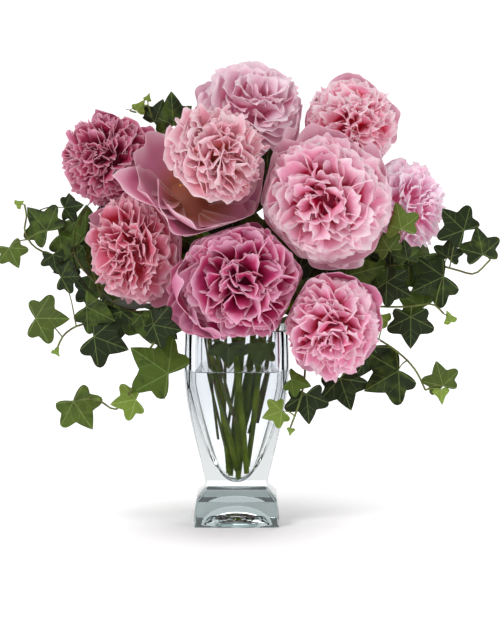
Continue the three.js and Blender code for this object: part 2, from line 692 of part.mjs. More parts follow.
const arrangement = new THREE.Group();
arrangement.add(meshFrom('vase', vaseSolid(), vaseGlass));
arrangement.add(meshFrom('water', waterSolid(), clearWater));
for (const bloom of BLOOMS) {
  arrangement.add(meshFrom(`bloom_${bloom.name}`, bloomSolid(bloom), petalMaterial(bloom.tint)));
  arrangement.add(meshFrom(`stem_${bloom.name}`, peonyStemSolid(bloom), stemGreen));
}
for (const trail of TRAILS) {
  arrangement.add(meshFrom(`ivy_${trail.name}`, trailSolid(trail), ivyGreen));
}

export default arrangement;
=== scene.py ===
# %% [markdown]
# Nine peonies and trailing ivy stand in a square glass vase with a block foot.
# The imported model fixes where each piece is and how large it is. This lesson gives each of its
# plain solids a finer piece: glass that bends light, petals in ruffled layers, veined leaves.
# Everything is in metres, with +Z up, and the front of the vase faces -Y.

# %% Load the frame
import math

import bpy
import numpy as np
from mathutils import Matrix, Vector


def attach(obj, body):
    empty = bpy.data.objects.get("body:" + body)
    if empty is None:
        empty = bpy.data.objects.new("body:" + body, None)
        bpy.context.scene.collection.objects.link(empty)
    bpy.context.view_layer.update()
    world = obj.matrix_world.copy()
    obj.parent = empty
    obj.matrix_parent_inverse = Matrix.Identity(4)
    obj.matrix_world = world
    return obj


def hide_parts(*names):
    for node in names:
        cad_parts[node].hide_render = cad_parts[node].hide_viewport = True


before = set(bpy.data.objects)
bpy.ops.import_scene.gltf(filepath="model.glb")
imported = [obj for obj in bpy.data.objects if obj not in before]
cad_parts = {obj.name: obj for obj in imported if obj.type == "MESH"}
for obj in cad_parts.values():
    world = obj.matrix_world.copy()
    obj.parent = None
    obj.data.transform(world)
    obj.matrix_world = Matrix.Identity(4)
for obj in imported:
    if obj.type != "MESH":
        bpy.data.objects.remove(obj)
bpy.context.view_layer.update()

# %% [markdown]
# The vase is photographed from a little above its middle with a long lens, so it hardly tapers.
# A camera on an arm round a target is the simple way to say that: the lens is worked out so that
# one pixel of a picture 500 wide is one millimetre at the target.

# %% Camera
MM = 0.001
PICTURE_WIDTH = 500
CAMERA_DISTANCE = 4.0
CAMERA_RISE = math.radians(7)
CAMERA_TARGET = Vector((13.5, -42.5, 218.5)) * MM

camera_data = bpy.data.cameras.new("camera")
camera_data.sensor_fit = "HORIZONTAL"
camera_data.lens = camera_data.sensor_width * CAMERA_DISTANCE / (PICTURE_WIDTH * MM)
camera_data.clip_end = 100
camera = bpy.data.objects.new("camera", camera_data)
bpy.context.collection.objects.link(camera)
camera.location = CAMERA_TARGET + CAMERA_DISTANCE * Vector((0, -math.cos(CAMERA_RISE), math.sin(CAMERA_RISE)))
camera.rotation_euler = (math.pi / 2 - CAMERA_RISE, 0, 0)
bpy.context.scene.camera = camera
print("lens", round(camera_data.lens), "mm")

# %% [markdown]
# The studio is white all round: an even sky, a wide floor that runs out of the picture, a large
# soft lamp up on the left and a weaker one on the right, so that petals still shade each other.
# A ray that has come through glass meets a brighter sky, as when a photographer lights the
# background on its own, and the clear glass stays clear.

# %% Studio
WHITE = (1, 1, 1, 1)
BLACK = (0, 0, 0, 1)
SKY_STRENGTH = 0.34
SKY_BEHIND_GLASS = 0.9
FLOOR_SIZE = 60
LAMPS = {
    "key": {"place": (-1.5, -1.9, 2.3), "size": 1.2, "watts": 41},
    "fill": {"place": (2.2, -1.6, 1.2), "size": 1.6, "watts": 19},
    "back": {"place": (0.3, 1.6, 2.4), "size": 1.4, "watts": 22},
}

sky = bpy.data.worlds.new("sky")
sky.use_nodes = True
background = sky.node_tree.nodes["Background"]
background.inputs["Color"].default_value = WHITE
through = sky.node_tree.nodes.new("ShaderNodeLightPath")
brighter = sky.node_tree.nodes.new("ShaderNodeMath")
brighter.operation = "MULTIPLY_ADD"
brighter.inputs[1].default_value = SKY_BEHIND_GLASS - SKY_STRENGTH
brighter.inputs[2].default_value = SKY_STRENGTH
sky.node_tree.links.new(through.outputs["Is Transmission Ray"], brighter.inputs[0])
sky.node_tree.links.new(brighter.outputs[0], background.inputs["Strength"])
bpy.context.scene.world = sky
bpy.context.scene.view_settings.view_transform = "Standard"

for name, lamp in LAMPS.items():
    lamp_data = bpy.data.lights.new(name, "AREA")
    lamp_data.size = lamp["size"]
    lamp_data.energy = lamp["watts"]
    lamp_object = bpy.data.objects.new(name, lamp_data)
    bpy.context.collection.objects.link(lamp_object)
    lamp_object.location = lamp["place"]
    aim = CAMERA_TARGET - lamp_object.location
    lamp_object.rotation_euler = aim.to_track_quat("-Z", "Y").to_euler()


def deselect():
    """Leaves nothing selected, because an operator acts on all that is selected."""
    bpy.ops.object.select_all(action="DESELECT")


deselect()
bpy.ops.mesh.primitive_plane_add(size=FLOOR_SIZE)
floor = bpy.context.object
floor.name = "floor"
print("lamps", len(LAMPS), "and a floor of", FLOOR_SIZE, "metres")

# %% [markdown]
# A finish is a small network of nodes. Two helpers keep it readable: Finish adds any node in one
# call, and Wire is one of its sockets, which can stand in a sum as a number does.

# %% Finishes as expressions
def paint(red, green, blue):
    """Screen colour from 0 to 255 as the linear colour that a shader wants."""
    shares = [value / 255 for value in (red, green, blue)]
    linear = [share / 12.92 if share < 0.04045 else ((share + 0.055) / 1.055) ** 2.4 for share in shares]
    return (*linear, 1)


class Wire:
    """One output socket. Sums and products on it add Math nodes."""

    def __init__(self, finish, socket):
        self.finish = finish
        self.socket = socket

    def other(self, index):
        """Another output of the same node."""
        return Wire(self.finish, self.socket.node.outputs[index])

    def maths(self, operation, *values):
        """One Math node on sockets and numbers."""
        return self.finish.add("Math", {"operation": operation}, dict(enumerate(values)))

    def __add__(self, other):
        return self.maths("ADD", self, other)

    def __sub__(self, other):
        return self.maths("SUBTRACT", self, other)

    def __rsub__(self, other):
        return self.maths("SUBTRACT", other, self)

    def __mul__(self, other):
        return self.maths("MULTIPLY", self, other)

    def __pow__(self, other):
        return self.maths("POWER", self, other)

    def __abs__(self):
        return self.maths("ABSOLUTE", self)

    __radd__ = __add__
    __rmul__ = __mul__

    def step(self, low, high):
        """Smooth step from 0 at low to 1 at high."""
        sockets = {"Value": self, "From Min": low, "From Max": high}
        return self.finish.add("MapRange", {"interpolation_type": "SMOOTHSTEP"}, sockets)


# %% [markdown]
# Finish holds one material while it is made. It adds nodes, and has short names for those that
# come back in every finish: a mix of two colours, a cloudy noise, a value of the piece, a bump.

# %% Material under construction
class Finish:
    """A material under construction."""

    def __init__(self, name):
        self.material = bpy.data.materials.new(name)
        self.material.use_nodes = True
        self.tree = self.material.node_tree
        self.tree.nodes.clear()

    def add(self, kind, settings=None, sockets=None, output=0):
        """A new node with its settings and what enters its sockets, as one of its outputs."""
        node = self.tree.nodes.new("ShaderNode" + kind)
        for key, value in (settings or {}).items():
            setattr(node, key, value)
        for key, value in (sockets or {}).items():
            if isinstance(value, Wire):
                self.tree.links.new(value.socket, node.inputs[key])
            else:
                node.inputs[key].default_value = value
        return Wire(self, node.outputs[output])

    def mix(self, share, first, second, blend="MIX"):
        """Colour between two, by a share from 0 to 1."""
        settings = {"data_type": "RGBA", "blend_type": blend}
        return self.add("Mix", settings, {0: share, 6: first, 7: second}, 2)

    def place(self):
        """Where a point is on the object, in metres."""
        return self.add("TexCoord", None, None, 3)

    def uv(self, name):
        """Both values of a map, as two sockets."""
        place = self.add("UVMap", {"uv_map": name})
        across = self.add("SeparateXYZ", None, {0: place})
        return across, across.other(1)

    def value(self, attribute):
        """A value that the points of the piece carry."""
        return self.add("Attribute", {"attribute_name": attribute}, None, 2)

    def noise(self, place, scale, detail=2):
        """Cloudy values round one half, finer with a larger scale."""
        return self.add("TexNoise", None, {"Vector": place, "Scale": scale, "Detail": detail})

    def bump(self, height, strength, distance):
        """The surface's direction, bent as if it had this height."""
        return self.add("Bump", None, {"Height": height, "Strength": strength, "Distance": distance})

    def principled(self, sockets, inside=None):
        """The finished material, from the sockets of its shader and what lies inside it."""
        shader = self.add("BsdfPrincipled", None, sockets)
        output = self.tree.nodes.new("ShaderNodeOutputMaterial")
        self.tree.links.new(shader.socket, output.inputs["Surface"])
        if inside:
            self.tree.links.new(inside.socket, output.inputs["Volume"])
        return self.material


# %% [markdown]
# The floor is a sheet of white paper with a painted glow. Near the vase it hardly glows, so the vase
# keeps its soft shadow, and the paper round the foot is painted darker than further out. Further out
# the glow grows in two steps till the paper is as white as the sky, and no horizon shows.

# %% Floor finish
PAPER_GRAIN = 3.0
GRAIN_SHARE = 0.1
GLOW_STRENGTH = 0.8
GLOW_AT_VASE = 0.08
# Each step of the glow: metres from the vase where it starts and ends, and what it adds.
GLOW_STEPS = [(0.03, 0.2, 0.46), (0.6, 4.0, 0.46)]


def floor_finish():
    finish = Finish("studio_floor")
    grain = finish.noise(finish.place(), PAPER_GRAIN)
    tone = finish.mix(grain * GRAIN_SHARE, paint(250, 250, 250), paint(238, 238, 240))
    far = finish.add("VectorMath", {"operation": "LENGTH"}, {0: finish.place()}, 1)
    # Painted light: the glow is low at the vase and grows outwards, which paints the paper darker round the
    # foot.
    share = GLOW_AT_VASE
    for start, end, gain in GLOW_STEPS:
        share = share + far.step(start, end) * gain
    painted_glow = finish.mix(share, BLACK, WHITE)
    sockets = {
        "Base Color": tone, "Roughness": 0.9, "Emission Color": painted_glow, "Emission Strength": GLOW_STRENGTH,
    }
    return finish.principled(sockets)


floor.data.materials.append(floor_finish())

# %% [markdown]
# Every finished piece rides on the one body of the model and stands for its plain solid. Its object
# stays at the origin, with its place in its mesh.

# %% Handing a piece over
def finished(piece, node, slot, material):
    """Names a piece, gives it its finish and puts it in its solid's place."""
    piece.name = node + "_fine"
    piece.data.name = piece.name
    piece.data.materials.clear()
    piece.data.materials.append(material)
    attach(piece, "root")
    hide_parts(node)
    print(piece.name, len(piece.data.polygons), "faces")
    return piece


# %% [markdown]
# Simple solids are worked on with the modelling operators, as by hand, and whatever is computed
# comes in as points and faces. These helpers keep each such step to one line.

# %% Steps of modelling
def in_edit_mode(select_mode, *steps):
    """Runs operators on the active object in edit mode."""
    bpy.ops.object.mode_set(mode="EDIT")
    bpy.ops.mesh.select_mode(type=select_mode)
    for step in steps:
        step()
    bpy.ops.object.mode_set(mode="OBJECT")


def apply_modifier(piece, kind, **settings):
    """Adds a modifier and makes its result the piece's own mesh."""
    modifier = piece.modifiers.new(kind.lower(), kind)
    for key, value in settings.items():
        setattr(modifier, key, value)
    bpy.context.view_layer.objects.active = piece
    bpy.ops.object.modifier_apply(modifier=modifier.name)


def shade_by_angle(piece, degrees):
    """Smooth shading, apart from edges that are sharper than an angle."""
    deselect()
    piece.select_set(True)
    bpy.context.view_layer.objects.active = piece
    bpy.ops.object.shade_smooth_by_angle(angle=math.radians(degrees))


def piece_from(name, points, faces):
    """A mesh object from an array of points in metres and a list of faces."""
    mesh = bpy.data.meshes.new(name)
    mesh.from_pydata(points.tolist(), [], faces)
    mesh.update()
    piece = bpy.data.objects.new(name, mesh)
    bpy.context.collection.objects.link(piece)
    return piece


# %% [markdown]
# The vase is pressed glass: a solid block foot, a sloping shoulder, a narrow waist and a square
# body that flares to the rim. By hand it is a square plate with cut corners, extruded ring by ring
# up its profile. The inside is a bowl, square at the rim and round at its floor, which is taken
# out of the glass by a Boolean, as the plunger in the mould does.

# %% Vase outside
VASE_HEIGHT = 200
FOOT_PROFILE = [(0, 42.5), (16, 42.5), (26, 40.5), (36.5, 30.5)]
BODY_PROFILE = [
    (36.5, 30.5), (50, 32.3), (68, 36.4), (82, 39.8), (110, 46), (138, 50.6), (166, 52.4), (200, 51.4),
]
PROFILE_STEPS = 3
CORNER_CHAMFER = 3
ROUND_SEGMENTS = 3


def smooth_path(points, steps):
    """Smooth curve through points, with a number of steps from each point to the next."""
    points = np.asarray(points, float)
    ends = np.vstack([2 * points[0] - points[1], points, 2 * points[-1] - points[-2]])
    share = np.linspace(0, 1, steps, endpoint=False)[:, None]
    path = []
    for a, b, c, d in zip(ends, ends[1:], ends[2:], ends[3:]):
        line = b + share * (c - a) / 2 + share**2 * (a - 2.5 * b + 2 * c - d / 2)
        path.append(line + share**3 * (1.5 * (b - c) + (d - a) / 2))
    return np.vstack([*path, points[-1:]])


deselect()
profile = FOOT_PROFILE[:-1] + [tuple(point) for point in smooth_path(BODY_PROFILE, PROFILE_STEPS)]
bpy.ops.mesh.primitive_plane_add(size=2 * profile[0][1] * MM)
vase = bpy.context.object


def raise_outside():
    bpy.ops.mesh.select_all(action="SELECT")
    bpy.ops.mesh.bevel(offset=CORNER_CHAMFER * MM, segments=ROUND_SEGMENTS, affect="VERTICES")
    for (low, half), (high, wider) in zip(profile, profile[1:]):
        lift = {"value": (0, 0, (high - low) * MM)}
        bpy.ops.mesh.extrude_region_move(TRANSFORM_OT_translate=lift)
        bpy.ops.transform.resize(value=(wider / half, wider / half, 1))


in_edit_mode("FACE", raise_outside)
print("vase outside", len(profile), "rings")

# %% [markdown]
# The bowl's plunger is a stack of level sections, each joined to the next. One formula gives them
# all: a circle low down, where the power is 2, and a rounded square at the water, where it is 5.
# The sections lie close together at the floor, because the bowl curves most there.

# %% Bowl
BOWL_FLOOR = 43
BOWL_SPREAD = 5.29
BOWL_POWER = 0.477
MOUTH_HALF = 47.6
ROUND_SECTION = 2
SQUARE_SECTION = 5
ROUND_DEPTH = 12
WATER_LEVEL = 158
BOWL_SIDES = 64
BOWL_STEPS = [0.15, 0.5, 1.2, 2.4, 4.2, 7, 11, 16, 22, 30, 40, 52, 66, 82, 100, 115, 136, 158]
BOWL_LEVELS = BOWL_FLOOR + np.array(BOWL_STEPS)


def smoothstep(value, low, high):
    """Smooth rise from 0 at low to 1 at high."""
    share = np.clip((value - low) / (high - low), 0, 1)
    return share * share * (3 - 2 * share)


def bowl_half(height):
    """Half the bowl's width at a height."""
    return np.minimum(BOWL_SPREAD * np.maximum(height - BOWL_FLOOR, 0) ** BOWL_POWER, MOUTH_HALF)


def bowl_ring(height, gap=0.0):
    """One level section of the bowl: a circle low down, a rounded square at the mouth."""
    squareness = smoothstep(height, BOWL_FLOOR + ROUND_DEPTH, WATER_LEVEL)
    power = 2 / (ROUND_SECTION + (SQUARE_SECTION - ROUND_SECTION) * squareness)
    angle = 2 * np.pi * (np.arange(BOWL_SIDES) + 0.5) / BOWL_SIDES
    half = bowl_half(height) - gap
    x, y = [half * (np.sign(way) * np.abs(way) ** power) for way in (np.cos(angle), np.sin(angle))]
    return np.stack([x, y, np.full(BOWL_SIDES, float(height))], axis=1)


def loft_faces(rings, sides):
    """Faces of a closed body through equal rings, with a flat cap on its first and last ring."""
    last = (rings - 1) * sides
    faces = [tuple(range(sides))[::-1], tuple(range(last, last + sides))]
    for start in range(0, last, sides):
        for side in range(sides):
            here, beside = start + side, start + (side + 1) % sides
            faces.append((here, beside, beside + sides, here + sides))
    return faces


def lofted(name, rings):
    return piece_from(name, np.vstack(rings) * MM, loft_faces(len(rings), len(rings[0])))


plunger = lofted("plunger", [bowl_ring(level) for level in BOWL_LEVELS])
print("bowl", len(plunger.data.vertices), "points")

# %% [markdown]
# Under the foot a shallow round dish is pressed in, which throws the bright and dark ovals that
# the foot shows. It is a flattened ball, cut away like the bowl. Then every sharp edge gets a small
# round, because glass has no true edges and the highlights run along these rounds.

# %% Dish under the foot, and rounded edges
DISH_RADIUS = 34
DISH_DEPTH = 13
DISH_RINGS = 24
EDGE_ROUND = 0.9
EDGE_ANGLE = 28
SMOOTH_GLASS = 40

deselect()
bpy.ops.mesh.primitive_uv_sphere_add(
    segments=2 * DISH_RINGS, ring_count=DISH_RINGS, radius=DISH_RADIUS * MM
)
dish = bpy.context.object


def flatten_dish():
    bpy.ops.mesh.select_all(action="SELECT")
    bpy.ops.transform.resize(value=(1, 1, DISH_DEPTH / DISH_RADIUS))


in_edit_mode("VERT", flatten_dish)
for cutter in (plunger, dish):
    apply_modifier(vase, "BOOLEAN", operation="DIFFERENCE", object=cutter, solver="EXACT")
    bpy.data.objects.remove(cutter)
apply_modifier(
    vase, "BEVEL", width=EDGE_ROUND * MM, segments=ROUND_SEGMENTS, limit_method="ANGLE",
    angle_limit=math.radians(EDGE_ANGLE),
)
shade_by_angle(vase, SMOOTH_GLASS)
print("glass", len(vase.data.polygons), "faces with its bowl, its dish and its rounds")

# %% [markdown]
# Clear glass takes its look from what is seen through it. Its tint changes with the height and is
# painted shade: the thick block foot is painted grey, the narrow neck is clearest, and higher up,
# where two walls lie behind each other, a light grey is painted. The glass swallows a little light
# inside, and its mirror is kept faint, because a strong one would lay a haze over the stems.

# %% Glass finish
# The foot's and the body's tints are painted shade; the neck's tint is the glass's own clear colour.
FOOT_SHADE_TINT, NECK_TINT, BODY_SHADE_TINT = paint(203, 214, 215), paint(253, 254, 255), paint(236, 238, 242)
# Heights in metres where the foot's painted shade ends, and where the body's painted shade comes in.
FOOT_END = (0.034, 0.04)
BODY_START = (0.07, 0.14)
GLASS_INSIDE = {"Color": paint(150, 180, 180), "Density": 2.4}
CLEAR = {"Roughness": 0.0, "Transmission Weight": 1.0, "Specular Tint": (0.15, 0.15, 0.15, 1)}


def glass_finish():
    finish = Finish("vase_glass")
    height = finish.add("SeparateXYZ", None, {0: finish.place()}, 2)
    shaded_tint = finish.mix(height.step(*FOOT_END), FOOT_SHADE_TINT, NECK_TINT)
    shaded_tint = finish.mix(height.step(*BODY_START), shaded_tint, BODY_SHADE_TINT)
    thick = finish.add("VolumeAbsorption", None, GLASS_INSIDE)
    return finish.principled({"Base Color": shaded_tint, "IOR": 1.5, **CLEAR}, thick)


finished(vase, "vase", "vase_glass", glass_finish())

# %% [markdown]
# Water has no shape of its own. It fills the bowl to its level and climbs the glass a little at
# its edge. It is made a hair larger than the bowl, so that light goes from glass straight into
# water, with no film of air between them, which would shine like a mirror.

# %% Water
WATER_OVERLAP = 0.12
# How far in from the glass, and how high the water stands there above its level.
MENISCUS = [(0, 1.2), (0.6, 0.5), (1.6, 0.15), (4, 0)]

water_levels = [level for level in BOWL_LEVELS if level < WATER_LEVEL - 1]
water_rings = [bowl_ring(level, -WATER_OVERLAP) for level in water_levels]
for inset, climb in MENISCUS:
    ring = bowl_ring(WATER_LEVEL, inset - WATER_OVERLAP)
    ring[:, 2] += climb
    water_rings.append(ring)
water = lofted("water", water_rings)
shade_by_angle(water, SMOOTH_GLASS)

water_sockets = {"Base Color": paint(254, 255, 254), "IOR": 1.333, **CLEAR}
finished(water, "water", "vase_water", Finish("vase_water").principled(water_sockets))

# %% [markdown]
# A peony is a few broad guard petals round a crowd of narrower ones. Modelling hundreds of petals
# by hand would take days, and copies of one petal look like a toy. So one flat blank is modelled, a
# closed thin sheet, and each petal is a copy of its mesh whose points are moved by a formula: the
# petal's length follows an arc, its sides cup inwards and its edge ruffles. All draws are seeded.

# %% Petal blanks
def walled(blank):
    """A flat blank with a wall one unit thick, as points and faces. Its object is used up."""
    apply_modifier(blank, "SOLIDIFY", thickness=1, offset=0)
    points = np.array([vertex.co for vertex in blank.data.vertices])
    faces = [tuple(polygon.vertices) for polygon in blank.data.polygons]
    bpy.data.objects.remove(blank)
    return points, faces


def petal_blank(columns, rows):
    """A closed sheet one unit thick, from -1 to 1 across and from 0 to 1 along."""
    deselect()
    bpy.ops.mesh.primitive_grid_add(x_subdivisions=columns, y_subdivisions=rows, size=2)
    blank = bpy.context.object

    def stretch():
        bpy.ops.mesh.select_all(action="SELECT")
        bpy.ops.transform.resize(value=(1, 0.5, 1))
        bpy.ops.transform.translate(value=(0, 0.5, 0))

    in_edit_mode("VERT", stretch)
    points, faces = walled(blank)
    print("petal blank", columns, "by", rows, "has", len(faces), "faces")
    return points, faces


GUARD_BLANK = petal_blank(20, 16)
BROAD_BLANK = petal_blank(16, 12)
SMALL_BLANK = petal_blank(11, 9)

# %% [markdown]
# A bloom, a stem with its sepals or a trail with its leaves is one piece of many small bodies.
# They are gathered as points and faces first, because joining hundreds of objects is slow, and
# each body brings values for the finish, such as its place on the petal or its own tone.

# %% Gathering small bodies
class Gathering:
    """Points and faces of many small bodies that become one piece, with values for its finish."""

    def __init__(self, *names):
        self.points = []
        self.faces = []
        self.values = {name: [] for name in names}
        self.count = 0

    def take(self, points, faces, **values):
        """Adds one body, with one value or one for each point under each name."""
        self.points.append(points)
        self.faces += [tuple(self.count + corner for corner in face) for face in faces]
        for name, value in values.items():
            self.values[name].append(np.broadcast_to(value, len(points)))
        self.count += len(points)

    def piece(self, name, map_name=None):
        """The gathered piece. Values named u and v become its map, the others its attributes."""
        made = piece_from(name, np.vstack(self.points) * MM, self.faces)
        values = {key: np.concatenate(parts) for key, parts in self.values.items()}
        if map_name:
            corners = np.empty(len(made.data.loops), int)
            made.data.loops.foreach_get("vertex_index", corners)
            places = np.stack([values.pop("u")[corners], values.pop("v")[corners]], axis=1)
            made.data.uv_layers.new(name=map_name).data.foreach_set("uv", places.ravel())
        for key, value in values.items():
            made.data.attributes.new(key, "FLOAT", "POINT").data.foreach_set("value", value)
        return made


# %% [markdown]
# Each bloom has its centre, its radius and the way it faces, from the model. Blooms that press on
# a neighbour or on the rim flatten there, as soft things do, so no petal cuts through another bloom.
# A few broad outer petals decide how a bloom is recognised, so these are given one by one.

# %% Blooms
UP = Vector((0, 0, 1))
# Facing is degrees to the right of the front, and up. Girth widens a bloom across and along. Each
# petal under "showing" has its way round the bloom, length, half width, and lean at root and tip.
BLOOMS = {
    "left_high": {
        "centre": (-126, 22, 366), "radius": 50, "girth": (1.02, 0.94), "facing": (-30, 5),
        "heart": "ball", "guards": "cupped", "crowd": "pompon", "seed": 11,
    },
    "left_low": {
        "centre": (-100, -16, 283), "radius": 54, "girth": (0.88, 1.12), "facing": (-30, -10),
        "heart": "ball", "guards": "cupped", "crowd": "full", "seed": 12,
    },
    "open_centre": {
        "centre": (-31, -48, 359), "radius": 66, "girth": (1, 1), "facing": (30, 45),
        "heart": "bowl", "guards": "wide", "crowd": "mound", "seed": 13, "stamens": 90,
        "showing": [
            (-24, 1.26, 0.44, 80, 44), (-66, 1.0, 0.46, 84, 40), (176, 1.16, 0.5, 82, 48),
            (2, 1.22, 0.42, 84, 40), (26, 1.2, 0.4, 84, 34), (-142, 1.02, 0.5, 92, 46),
            (-100, 0.96, 0.5, 96, 60),
        ],
    },
    "top": {
        "centre": (14, 40, 412), "radius": 54, "girth": (1, 1), "facing": (10, 40),
        "heart": "ball", "guards": "cupped", "crowd": "cup", "seed": 34,
        "showing": [
            (-38, 1.2, 0.56, 88, 30), (100, 1.16, 0.3, 70, -14), (70, 1.12, 0.26, 66, 4),
            (-4, 1.16, 0.46, 84, 22), (-34, 1.55, 0.5, 84, -24),
        ],
    },
    "right_high": {
        "centre": (114, 34, 399.5), "radius": 48, "girth": (1, 1), "facing": (12, 12),
        "heart": "ball", "guards": "cupped", "crowd": "pompon", "seed": 15,
        "showing": [(178, 1.18, 0.42, 84, 24), (-150, 1.14, 0.4, 86, 30)],
    },
    "right_front": {
        "centre": (88, -45, 331), "radius": 67, "girth": (1, 0.96), "facing": (-12, 5),
        "heart": "ball", "guards": "cupped", "crowd": "rosette", "seed": 16,
        "showing": [
            (-98, 1.24, 0.3, 90, 66), (-78, 1.2, 0.26, 90, 70), (168, 1.3, 0.5, 86, 60),
            (145, 1.2, 0.4, 86, 56),
        ],
    },
    "right_far": {
        "centre": (166, 30, 318), "radius": 48, "girth": (1, 1), "facing": (60, 10),
        "heart": "ball", "guards": "cupped", "crowd": "full", "seed": 17,
        "showing": [(-120, 1.16, 0.26, 88, 56), (-96, 1.2, 0.22, 88, 62), (-70, 1.14, 0.24, 88, 48)],
    },
    "low_centre": {
        "centre": (5, -62, 252), "radius": 65, "girth": (1, 0.94), "facing": (8, 12),
        "heart": "ball", "guards": "spread", "crowd": "rosette", "seed": 18,
        "showing": [
            (-150, 1.1, 0.42, 84, 46), (-125, 1.12, 0.4, 84, 50), (168, 1.1, 0.36, 82, 40),
            (188, 1.66, 0.52, 84, -28), (-128, 1.5, 0.44, 84, -8),
        ],
    },
    "low_right": {
        "centre": (94, -66, 211), "radius": 52, "girth": (0.94, 1.06), "facing": (0, -25),
        "heart": "ball", "guards": "cupped", "crowd": "full", "seed": 19,
    },
}

# %% [markdown]
# A bloom is built round its own axis and then turned to where it faces. Where a neighbour or the
# rim is close, its points are bent back, more the nearer they come, so it flattens softly instead
# of being cut off.

# %% Facing and pressing
PRESS_REACH = 1.06
RIM_REACH = 1.2
BEND_START = 0.75
PRESS_ROOM = 1.3


def facing_vector(turn, rise):
    """Unit vector that points a number of degrees to the right of the front, and up."""
    turn, rise = math.radians(turn), math.radians(rise)
    level = math.cos(rise)
    return Vector((math.sin(turn) * level, -math.cos(turn) * level, math.sin(rise)))


def standing_on(axis):
    """Matrix that turns +Z to an axis and keeps +Y as upright as it can."""
    right = UP.cross(axis).normalized()
    return np.array([right, axis.cross(right), axis]).T


def limits_of(bloom):
    """Directions in which a bloom has only so much room, with that room in millimetres."""
    centre = Vector(bloom["centre"])
    limits = []
    for other in BLOOMS.values():
        way = Vector(other["centre"]) - centre
        reach = bloom["radius"] + other["radius"]
        if other is not bloom and way.length < reach * PRESS_REACH:
            limits.append((np.array(way.normalized()), way.length * bloom["radius"] / reach - PRESS_ROOM))
    half = BODY_PROFILE[-1][1]
    rim = Vector([min(max(value, -half), half) for value in centre[:2]] + [min(centre.z, VASE_HEIGHT)])
    way = rim - centre
    if way.length < bloom["radius"] * RIM_REACH:
        limits.append((np.array(way.normalized()), way.length - PRESS_ROOM))
    return limits


def within_limits(points, centre, limits):
    """Bends points back where they come near a limit."""
    for way, most in limits:
        reach = (points - centre) @ way
        free = most * BEND_START
        bent = free + (most - free) * np.tanh(np.maximum(reach - free, 0) / (most - free))
        points = points + np.outer(np.where(reach > free, bent - reach, 0), way)
    return points


for name, bloom in BLOOMS.items():
    print(name, "is pressed at", len(limits_of(bloom)), "places")

# %% [markdown]
# The petal's own shape has three scales. Its length follows an arc from the lean at its root to the
# lean at its tip. Soft dents run over the whole blade. The edge is longer than the blade inside
# it, so it has to ruffle, with waves that die out inwards.

# %% Petal shape
ROOT_SPREAD = 8
TIP_SPREAD = 18
LENGTH_SPREAD = 0.16
WIDTH_SPREAD = 0.2
PETAL_THICKNESS = 0.35
LONGEST = 1.25
CURVE_STEPS = 51
SWAY = 0.25
# The tip may flare out past a share of the length, by a least amount and what a draw adds.
FLARE_START, FLARE_POWER, FLARE_DRAW = 0.6, 1.5, (0.4, 1.2)
# The lip falls back towards its sides, more so at its corners, and waves a little.
LIP_ROUND, CORNER_ROUND, LIP_WAVE = 0.18, 0.14, 0.06
# Waves of the fringe: how many across, how often the petal's own draw shifts them, and their share.
SCALLOPS = [(8, 3, 1.0), (15, 1, 0.6)]
# The blade widens from its root as a sine does.
ROOT_WIDTH, WIDTH_SPEED, WIDTH_END = 0.22, 2.6, 1.9
# Waves of the dents: their share, how many across and along, and how often the draw shifts them.
DENTS, DENT_POWER = [(0.6, 3.1, 2.6, 1), (0.4, 5.7, -3.7, 2)], 1.4
EDGE_MIDDLE, RUFFLE_MOST, SKEW = 0.42, 1.5, 0.1
NUDGE = 0.02
PETAL = {
    "cup": 0.3, "dents": 0.03, "ruffle": 0.02, "waves": 8, "fringe": 0.02, "roll": 0.1, "flare": 0,
    "twist": 0, "grows": 0, "middle": 0,
}


def seeded(seed):
    """Repeatable draws from 0 to 1."""
    state = seed * 7919
    while True:
        state = (state * 16807 + 12345) % 2147483647
        yield state / 2147483647


def drawn(draws, least, more):
    """One draw, scaled: at least so much, and up to so much more."""
    return least + more * next(draws)


def travelled(steps, start, stride):
    """How far a curve has come at each step, by the mean of the step's two ends."""
    return stride * (np.cumsum(steps) - 0.5 * steps - 0.5 * start)


# %% [markdown]
# One function lays the petal. It first draws what makes this petal its own, then walks along its
# length in small steps, and gives back a function for any point of the blade. The order of the
# draws matters, because every later petal takes the next ones.

